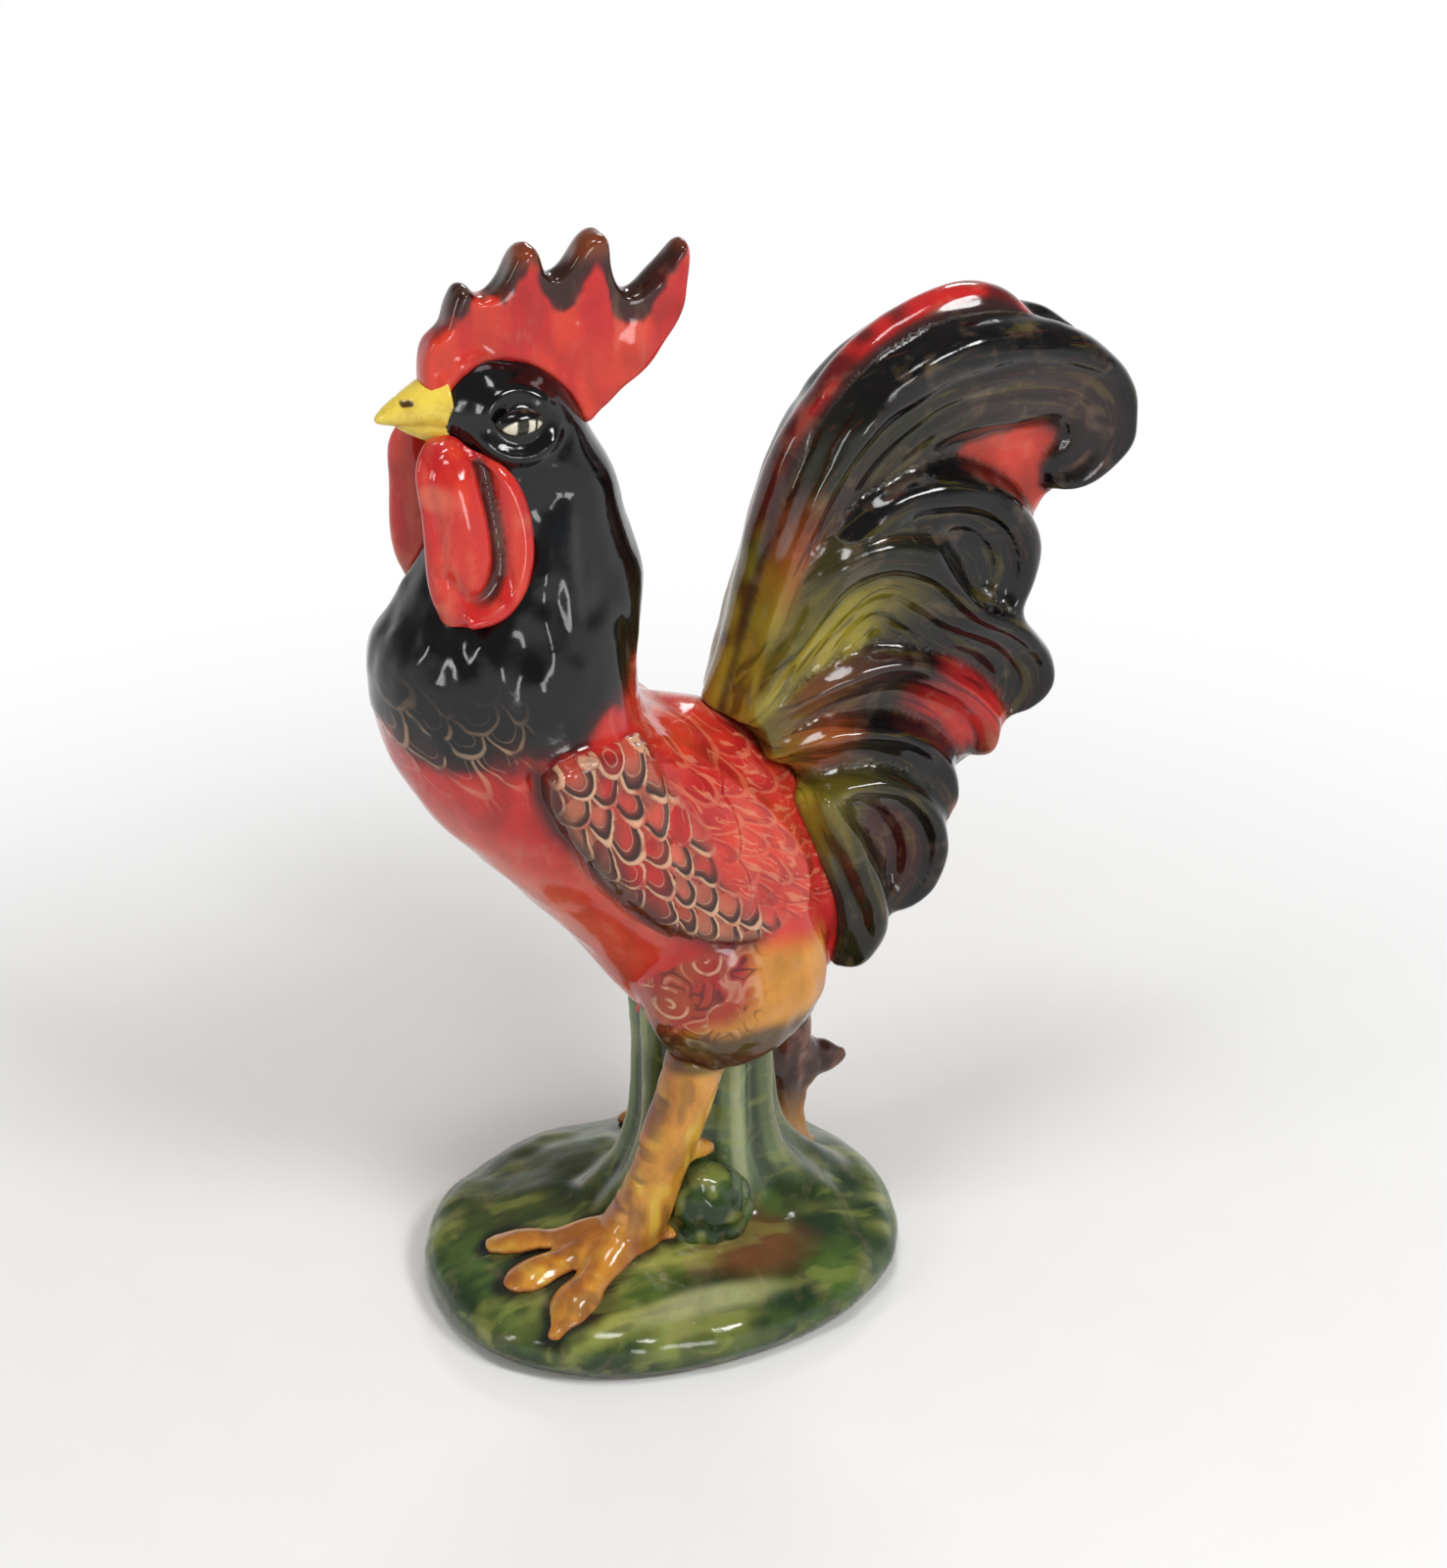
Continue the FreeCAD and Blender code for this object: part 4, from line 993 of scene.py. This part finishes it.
def tail_material(shader):
    """Dark and pale streaks along the quills."""
    quill = shader.stored("quill", "Vector")
    streak = shader.noise(shader.scaled(quill, (0.42, 0.045, 1.0)), 1.0, 3.0, 0.6)
    shader.tone(shader.step(streak, 0.52, 0.62) * 0.65, 0.85, BLACK)
    shader.tone(shader.step(streak, 0.44, 0.34) * 0.30, 0.4, YELLOW_OLIVE)
    hair = shader.noise(shader.scaled(quill, (1.7, 0.07, 1.0)), 1.0, 2.0)
    shader.lay(shader.step(hair, 0.62, 0.70) * 0.16, RUST)
    return shader.glaze(shader.bump(streak, 0.15 * MM, 0.5))


# Comb, beak, wattles and eyes

# Middle of the eye
EYE_PLACE = (-40.3, 260.6)
# Lower edge of the dark glaze along the top of the comb
COMB_EDGE = ((-62, 281), (-56, 279), (-50, 284), (-46, 289), (-43, 288), (-40, 285), (-38, 288), (-36, 293),
             (-33, 296), (-31, 291), (-28, 283), (-25, 282), (-21, 287), (-17, 293), (-15, 291), (-13, 282),
             (-9, 278), (-5, 278), (0, 284), (5, 291), (8, 296))
# Middle line of the nostril
NOSTRIL = ((-65.6, 264.7), (-64.0, 265.0))
# Middle and size of each swelling at the foot of the comb
COMB_PADS = ((-22, 275, 6.5), (-37, 280, 5.0), (-8, 272, 5.5), (-50, 272, 5.0))


def make_comb():
    comb = dress("crest", ["comb"], FINE_VOXEL, 16)
    flare(comb, ["head"], 5 * MM, 1.6 * MM)
    points = vertex_array(comb)
    x, z = side_view(points).T
    lean = x - 0.22 * (z - 270)
    flutes = np.cos((lean + 39) / 17 * 2 * math.pi) * ease(266, 284, z)
    rise = ease(262, 292, z)
    pads = np.zeros(len(points))
    for middle_x, middle_z, size in COMB_PADS:
        pads += np.exp(-((x - middle_x) ** 2 + (z - middle_z) ** 2) / size ** 2)
    push(comb, (0.9 * flutes * (1 - 0.4 * rise) + 0.8 * lumps(points, 7, 71) + 1.1 * pads) * MM)
    soften(comb, 6)
    points = vertex_array(comb)
    depth = z - read_line(COMB_EDGE, x) - 1.2 + 2.0 * lumps(points, 5, 72) + 1.2 * lumps(points, 2.5, 75)
    paint = layers(
        blend(ease(-0.5, 0.6, lumps(points, 5, 73, (1.0, 1.0, 0.3))), RED, ORANGE_RED),
        (0.5 * ease(0.2, 0.8, lumps(points, 9, 74)), DEEP_RED),
        (ease(-1.6, 1.2, depth), MAROON),
        (ease(1.0, 5.0, depth), DARK_BROWN),
        (ease(293, 298, z) * 0.5, RUST))
    finish_painted(comb, "comb_glaze", paint, 10, (1.0, 1.0, 0.35), 190.0, ["comb"])


def make_beak():
    nodes = ["upper_beak", "lower_beak"]
    beak = dress("beak", nodes, TINY_VOXEL, 8)
    flare(beak, ["head"], 3 * MM, 0.6 * MM)
    points = vertex_array(beak)
    places = side_view(points)
    slit = ease(0.9, 0.4, np.abs(follow(places, NOSTRIL)[0]))
    push(beak, -0.35 * MM * slit)
    paint = blend(ease(-0.1, 0.8, lumps(points, 5, 81)) * 0.3, BEAK_YELLOW, GOLD)
    paint = layers(paint, (0.35 * ease(-71, -74, places[:, 0]), RUST), (0.95 * slit, DARK_BROWN))
    finish_painted(beak, "beak_glaze", paint, 8, (1.0, 1.0, 1.0), 260.0, nodes)


# Dark groove of a wattle from the top to the bottom, and the middle of its lobe
WATTLE_GROOVE = ((-50.8, 252), (-49.4, 245), (-48.4, 236), (-48.4, 228), (-50.5, 222), (-54.5, 219),
                 (-58.5, 220.5), (-61.0, 225))
WATTLE_LOBE = ((-56.5, 248), (-55.5, 238), (-54.5, 229), (-54.5, 223))
# Rolled rim of a wattle, from behind the beak to its lowest point
WATTLE_RIM = ((-52, 252), (-45.5, 248), (-42, 240), (-41.6, 230), (-44.5, 221.5), (-50, 216), (-57, 214.5))


def tube(path, radius, segments=10):
    """Points and triangles of a closed round bar along a path of points."""
    path = np.asarray(path, dtype=float)
    along = np.gradient(path, axis=0)
    along /= np.linalg.norm(along, axis=1)[:, None]
    first = np.cross(along, (0.0, 1.0, 0.0))
    first /= np.linalg.norm(first, axis=1)[:, None]
    second = np.cross(along, first)
    points = []
    for centre, one, two in zip(path, first, second):
        for segment in range(segments):
            turn = 2 * math.pi * segment / segments
            points.append(centre + radius * (math.cos(turn) * one + math.sin(turn) * two))
    faces = []
    for ring in range(len(path) - 1):
        for segment in range(segments):
            a = ring * segments + segment
            b = ring * segments + (segment + 1) % segments
            faces += [(a, b, b + segments), (a, b + segments, a + segments)]
    for start, flip in ((0, 1), ((len(path) - 1) * segments, -1)):
        for segment in range(1, segments - 1):
            faces.append((start, start + segment + 1, start + segment)[::flip])
    return np.array(points), np.array(faces)


def wattle_rim(node, outward):
    """The rolled rim as a bar that lies on the wattle."""
    points = vertex_array(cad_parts[node])
    places = side_view(points)
    path = []
    for x, z in bend(WATTLE_RIM):
        near = np.hypot(places[:, 0] - x, places[:, 1] - z)
        path.append((x * MM, points[near < near.min() + 2.0, 1].mean(), z * MM))
    path = np.array(path)
    for step in range(6):
        path[1:-1, 1] = (path[:-2, 1] + path[1:-1, 1] + path[2:, 1]) / 3
    path[:, 1] += outward * np.interp(path[:, 2], (0.216, 0.236, 0.250), (2.6, 1.4, 0.4)) * MM
    return tube(path, 2.2 * MM)


def make_wattle(side):
    node = "wattle_" + side
    outward = -1 if side == "left" else 1
    wattle = dress("lobe_" + side, [node], FINE_VOXEL, 0, [wattle_rim(node, outward)])
    fill_creases(wattle, 3.2 * MM, FINE_VOXEL)
    soften(wattle, 16)
    flare(wattle, ["head", "neck"], 3 * MM, 0.8 * MM)
    places = side_view(vertex_array(wattle))
    face = ease(0.1, 0.6, normal_array(wattle)[:, 1] * outward)
    groove, way, length = follow(places, bend(WATTLE_GROOVE))
    lobe = follow(places, bend(WATTLE_LOBE))[0]
    dip = bump_at(groove, 0.0, 2.0)
    swell = bump_at(lobe, 0.0, 4.2)
    gutter = bump_at(np.abs(lobe), 7.4, 1.6)
    push(wattle, (-1.7 * dip + 1.0 * swell - 0.9 * gutter) * face * MM)
    soften(wattle, 4)
    points = vertex_array(wattle)
    dark = ease(2.5, 1.3, np.abs(groove)) * ease(length - 6, length - 13, way)
    paint = layers(
        blend(ease(-0.4, 0.6, lumps(points, 4, 91, (1.0, 1.0, 0.3))), RED, ORANGE_RED),
        (0.4 * swell * face, ORANGE_RED),
        (0.35 * ease(0.2, 0.8, lumps(points, 7, 92)), PEACH),
        (0.92 * dark * face, DARK_BROWN))
    name = "wattle_glaze_" + side
    finish_painted(wattle, name, paint, 8, (1.0, 1.0, 0.35), 220.0, [node])


def make_eye(side):
    node = "eye_" + side
    eye = dress("eyeball_" + side, [node], TINY_VOXEL, 3)
    x, z = side_view(vertex_array(eye)).T
    across = (x - EYE_PLACE[0]) / 6.0
    up = (z - EYE_PLACE[1] + 0.2) / 2.5
    lid = across ** 2 + np.abs(up) ** 1.5
    pupil = ease(0.28, 0.22, np.abs(across + 0.06))
    line = ease(0.09, 0.04, np.abs(across - 0.52))
    paint = layers(
        np.tile(EYE_WHITE, (len(x), 1)),
        (np.maximum(pupil, line), OLIVE_BLACK),
        (ease(0.62, 0.80, lid), BLACK))
    finish_painted(eye, "eye_glaze_" + side, paint, 0, (1.0, 1.0, 1.0), 400.0, [node])


# Legs, ground, boulder and stump

def make_leg(side):
    nodes = ["leg_" + side, "foot_" + side]
    leg = dress("standing_leg_" + side, nodes, LEG_VOXEL, 5)
    fill_creases(leg, 0.8 * MM, LEG_VOXEL)
    soften(leg, 5)
    flare(leg, ["base_mound", "thigh_left", "thigh_right", "torso"], 3 * MM, 0.8 * MM)
    points = vertex_array(leg)
    z = side_view(points)[:, 1]
    normals = normal_array(leg)
    front = ease(0.45, 0.95, -normals[:, 0]) * ease(24, 30, z)
    notches = lumps(points, 6, 101, (0.5, 0.5, 3.4))
    push(leg, (0.35 * front * notches + 0.45 * lumps(points, 6, 102)) * MM)
    points = vertex_array(leg)
    streaks = lumps(points, 3.2, 106, (1.0, 1.0, 0.4))
    # Painted shade: browner where the leg's surface turns away from its broad sides, and dark under the
    # toes
    edges = ease(0.55, 0.15, np.abs(normals[:, 1]))
    under = ease(0.1, 0.7, -normals[:, 2]) * ease(34, 26, z)
    paint = layers(
        blend(ease(-0.5, 0.5, lumps(points, 4.5, 103, (1.0, 1.0, 0.3))), GOLD, OCHRE),
        (0.55 * ease(0.15, 0.8, lumps(points, 9, 104)), RUST),
        (0.55 * ease(0.05, 0.55, streaks), UMBER),
        (0.45 * ease(-0.1, -0.6, streaks), BEAK_YELLOW),
        (0.75 * front * ease(-0.15, -0.6, notches), DARK_BROWN),
        (0.45 * ease(0.0, 0.7, lumps(points, 13, 105)), OCHRE),
        (0.8 * ease(74, 78, z), DARK_BROWN),
        # Painted shade: the turned edges of the leg, the sides of the toes and their undersides
        (0.45 * edges, RUST),
        (0.6 * ease(0.75, 0.25, normals[:, 2]) * ease(30, 24, z), RUST),
        (0.7 * under, DARK_BROWN))
    name = "leg_glaze_" + side
    finish_painted(leg, name, paint, 10, (1.0, 1.0, 0.5), 240.0, nodes)


def top_patch(points, centre, radii, soft=0.5):
    """A soft round patch on the ground about a place seen from above, in millimetres."""
    off = (points[:, :2] / MM - np.array(centre)) / np.array(radii)
    return ease(1 + soft, 1 - soft, np.hypot(off[:, 0], off[:, 1]) + 0.25 * lumps(points, 12, 111))


def mound_paint(points):
    """Brushed greens, nearly black around the feet of the bird as pooled glaze and painted shade."""
    blotch = lumps(points, 11, 114, (1.0, 0.45, 0.6))
    fine = lumps(points, 5, 115)
    brush = lumps(points, 7, 117, (0.35, 1.2, 1.0))
    thin_brush = lumps(points, 3, 120, (0.4, 1.3, 1.0))
    toe_gap = nearest(["foot_left", "foot_right"], points, 6 * MM)[1]
    paint = blend(ease(-0.5, 0.5, blotch + 0.4 * fine), DARK_LEAF, LEAF)
    front = top_patch(points, (-22, -38), (34, 13)) * ease(-0.4, 0.4, brush)
    rear = top_patch(points, (44, -18), (16, 20)) * ease(-0.3, 0.5, brush)
    return layers(
        paint,
        (0.9 * front, YELLOW_LEAF),
        (0.5 * rear, YELLOW_LEAF),
        (0.5 * ease(0.15, 0.6, brush), YELLOW_LEAF),
        (0.55 * ease(0.1, 0.6, thin_brush), DARK_LEAF),
        (0.6 * top_patch(points, (-36, 24), (28, 26)), DARK_OLIVE),
        (0.5 * ease(0.2, 0.7, lumps(points, 13, 118)), DARK_LEAF),
        (0.9 * top_patch(points, (14, -32), (15, 10)), UMBER),
        # Painted highlight: a pale streak along the near front rim of the mound
        (0.6 * top_patch(points, (-8, -47), (20, 4)), PALE_SAGE),
        (0.85 * ease(10, 3, points[:, 2] / MM + 2 * fine), DARK_LEAF),
        # Glaze pooled around the toes, and painted shade where the feet meet the ground
        (0.9 * ease(5.0, 1.0, toe_gap / MM + 1.2 * fine), SOFT_BLACK))


def column_paint(points):
    """Pale green blades of grass with dark lines between them."""
    turn = np.arctan2(points[:, 1] / (14.5 * MM), (points[:, 0] / MM - COLUMN_X) / 20)
    ribs = np.cos(9 * turn + 0.8 * lumps(points, 20, 116))
    return layers(
        blend(0.7 * ease(0.55, 0.95, ribs), SAGE, PALE_SAGE),
        (0.55 * ease(0.1, 0.6, lumps(points, 9, 125, (1, 1, 0.2))), DARK_OLIVE),
        (0.85 * ease(0.0, -0.7, ribs), DARK_LEAF),
        (0.5 * ease(0.1, 0.6, lumps(points, 5, 119, (1, 1, 0.3))), LEAF))


def make_ground():
    nodes = ["base_mound", "grass_column"]
    plug = ball((COLUMN_X * MM, 0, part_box("grass_column")[1].z - 6.0 * MM), (18 * MM, 11 * MM, 3.5 * MM))
    ground = dress("ground", nodes, GROUND_VOXEL, 4, [plug])
    points = vertex_array(ground)
    normals = normal_array(ground)
    ends = edge_array(ground)
    column = (nearest(nodes, points, 8 * MM)[0] == 1).astype(float)
    soften(ground, 40, seam(column, ends, 10, 5))
    column = neighbour_mean(column, ends, 12)
    outside = (normals[:, 2] > -0.3) & (points[:, 2] > 1.5 * MM)
    swell = 0.9 * lumps(points, 18, 112) + 0.4 * lumps(points, 7, 113)
    push(ground, swell * MM * outside * (1 - 0.5 * column))
    points = vertex_array(ground)
    tall = ease(0.25, 0.8, column) * ease(24, 36, points[:, 2] / MM + 3 * lumps(points, 5, 115))
    underside = (normals[:, 2] < -0.93) * 1.0
    paint = layers(mound_paint(points), (tall, column_paint(points)), (underside, CREAM))
    shader = painted_glaze(ground, "ground_glaze", paint, 14, (1.0, 0.6, 1.0), 120.0)
    brushed = shader.noise(shader.scaled(shader.here, (0.5, 1.3, 1.6)), 95.0, 3.0, 0.6)
    shader.lay(shader.step(brushed, 0.54, 0.66) * 0.30, YELLOW_LEAF)
    finish_piece(ground, shader.glaze(), nodes)


def make_boulder():
    stone = dress("stone", ["boulder"], FINE_VOXEL, 5)
    flare(stone, ["base_mound", "grass_column"], 5 * MM, 2.4 * MM)
    points = vertex_array(stone)
    push(stone, (1.1 * lumps(points, 6, 121) + 0.4 * lumps(points, 3, 124)) * MM)
    paint = blend(ease(-0.3, 0.6, lumps(points, 5, 122)), DARK_LEAF, LEAF)
    paint = blend(0.45 * ease(0.1, 0.7, lumps(points, 4, 123)), paint, YELLOW_LEAF)
    name = "boulder_glaze"
    finish_painted(stone, name, paint, 6, (1.0, 1.0, 1.0), 200.0, ["boulder"])


def make_stump():
    stump = dress("stump", ["tree_stump"], LEG_VOXEL, 5)
    fill_creases(stump, 0.8 * MM, LEG_VOXEL)
    flare(stump, ["base_mound", "grass_column", "torso"], 4 * MM, 1.5 * MM)
    points = vertex_array(stump)
    bark = lumps(points, 4, 131, (1.0, 1.0, 0.35))
    push(stump, (1.3 * bark + 0.7 * lumps(points, 6, 132)) * MM)
    points = vertex_array(stump)
    paint = layers(
        blend(ease(-0.3, 0.4, bark + 0.5 * lumps(points, 2.5, 134)), DARK_BROWN, BARK),
        (0.5 * ease(0.1, 0.7, lumps(points, 8, 133)), RUST),
        (0.7 * ease(44, 26, points[:, 2] / MM), OCHRE))
    finish_painted(stump, "stump_glaze", paint, 8, (1.0, 1.0, 0.4), 220.0, ["tree_stump"])


# Studio

def direction(azimuth, elevation):
    """The unit vector from the object toward a place at that azimuth and elevation."""
    turn = math.radians(azimuth)
    rise = math.radians(elevation)
    return Vector((math.sin(turn) * math.cos(rise), -math.cos(turn) * math.cos(rise), math.sin(rise)))


def aim(thing, target):
    thing.rotation_euler = (target - thing.location).to_track_quat("-Z", "Y").to_euler()


def make_camera():
    camera = bpy.data.objects.new("camera", bpy.data.cameras.new("camera"))
    bpy.context.scene.collection.objects.link(camera)
    camera.data.sensor_width = SENSOR
    camera.data.lens = CAMERA_LENS
    camera.data.clip_start = 0.01
    camera.location = CAMERA_TARGET + direction(CAMERA_AZIMUTH, CAMERA_ELEVATION) * CAMERA_DISTANCE
    aim(camera, CAMERA_TARGET)
    bpy.context.scene.camera = camera


def area_light(name, azimuth, elevation, distance, width, height, power):
    light = bpy.data.lights.new(name, "AREA")
    light.shape = "RECTANGLE"
    light.size = width
    light.size_y = height
    light.energy = power
    lamp = bpy.data.objects.new(name, light)
    bpy.context.scene.collection.objects.link(lamp)
    lamp.location = CAMERA_TARGET + direction(azimuth, elevation) * distance
    aim(lamp, CAMERA_TARGET)


def make_floor():
    """A pale floor that keeps the shadow and turns plain white farther away."""
    half = FLOOR_SIZE / 2
    corners = [(-half, -half, 0), (half, -half, 0), (half, half, 0), (-half, half, 0)]
    floor = new_object("floor", corners, [(0, 1, 2, 3)])
    shader = Shader("floor")
    grain = shader.noise(shader.here, 40.0)
    colour = shader.mix(grain, linear(248, 248, 248), linear(252, 252, 252))
    shader.put(shader.surface.inputs["Base Color"], colour)
    shader.put(shader.surface.inputs["Roughness"], 0.9)
    far = shader.step(shader.vector_math("LENGTH", "Value", shader.here), 0.12, 0.50)
    shader.choose(far * shader.seen(), shader.surface, shader.add("Emission", Color=WHITE))
    floor.data.materials.append(shader.material)


def make_world():
    """Even light, and a room that looks white at the height of the floor and dim above."""
    world = bpy.data.worlds.new("studio")
    bpy.context.scene.world = world
    nodes = Nodes(world, "OutputWorld")
    height = nodes.parts(nodes.place("Generated"))[2]
    light = nodes.add("Background", Color=(1.0, 0.97, 0.93, 1.0), Strength=WORLD_STRENGTH)
    room = nodes.add("Background", Color=WHITE, Strength=nodes.step(height, 0.0, 0.5, 1.0, 0.2))
    nodes.choose(nodes.seen(), light, room)


def make_studio():
    make_camera()
    make_world()
    make_floor()
    for lamp in LAMPS:
        area_light(*lamp)
    bpy.context.scene.view_settings.view_transform = "Standard"


make_body()
make_tail()
make_comb()
make_beak()
make_boulder()
make_stump()
make_ground()
for one_side in SIDES:
    make_wattle(one_side)
    make_eye(one_side)
    make_leg(one_side)
make_studio()
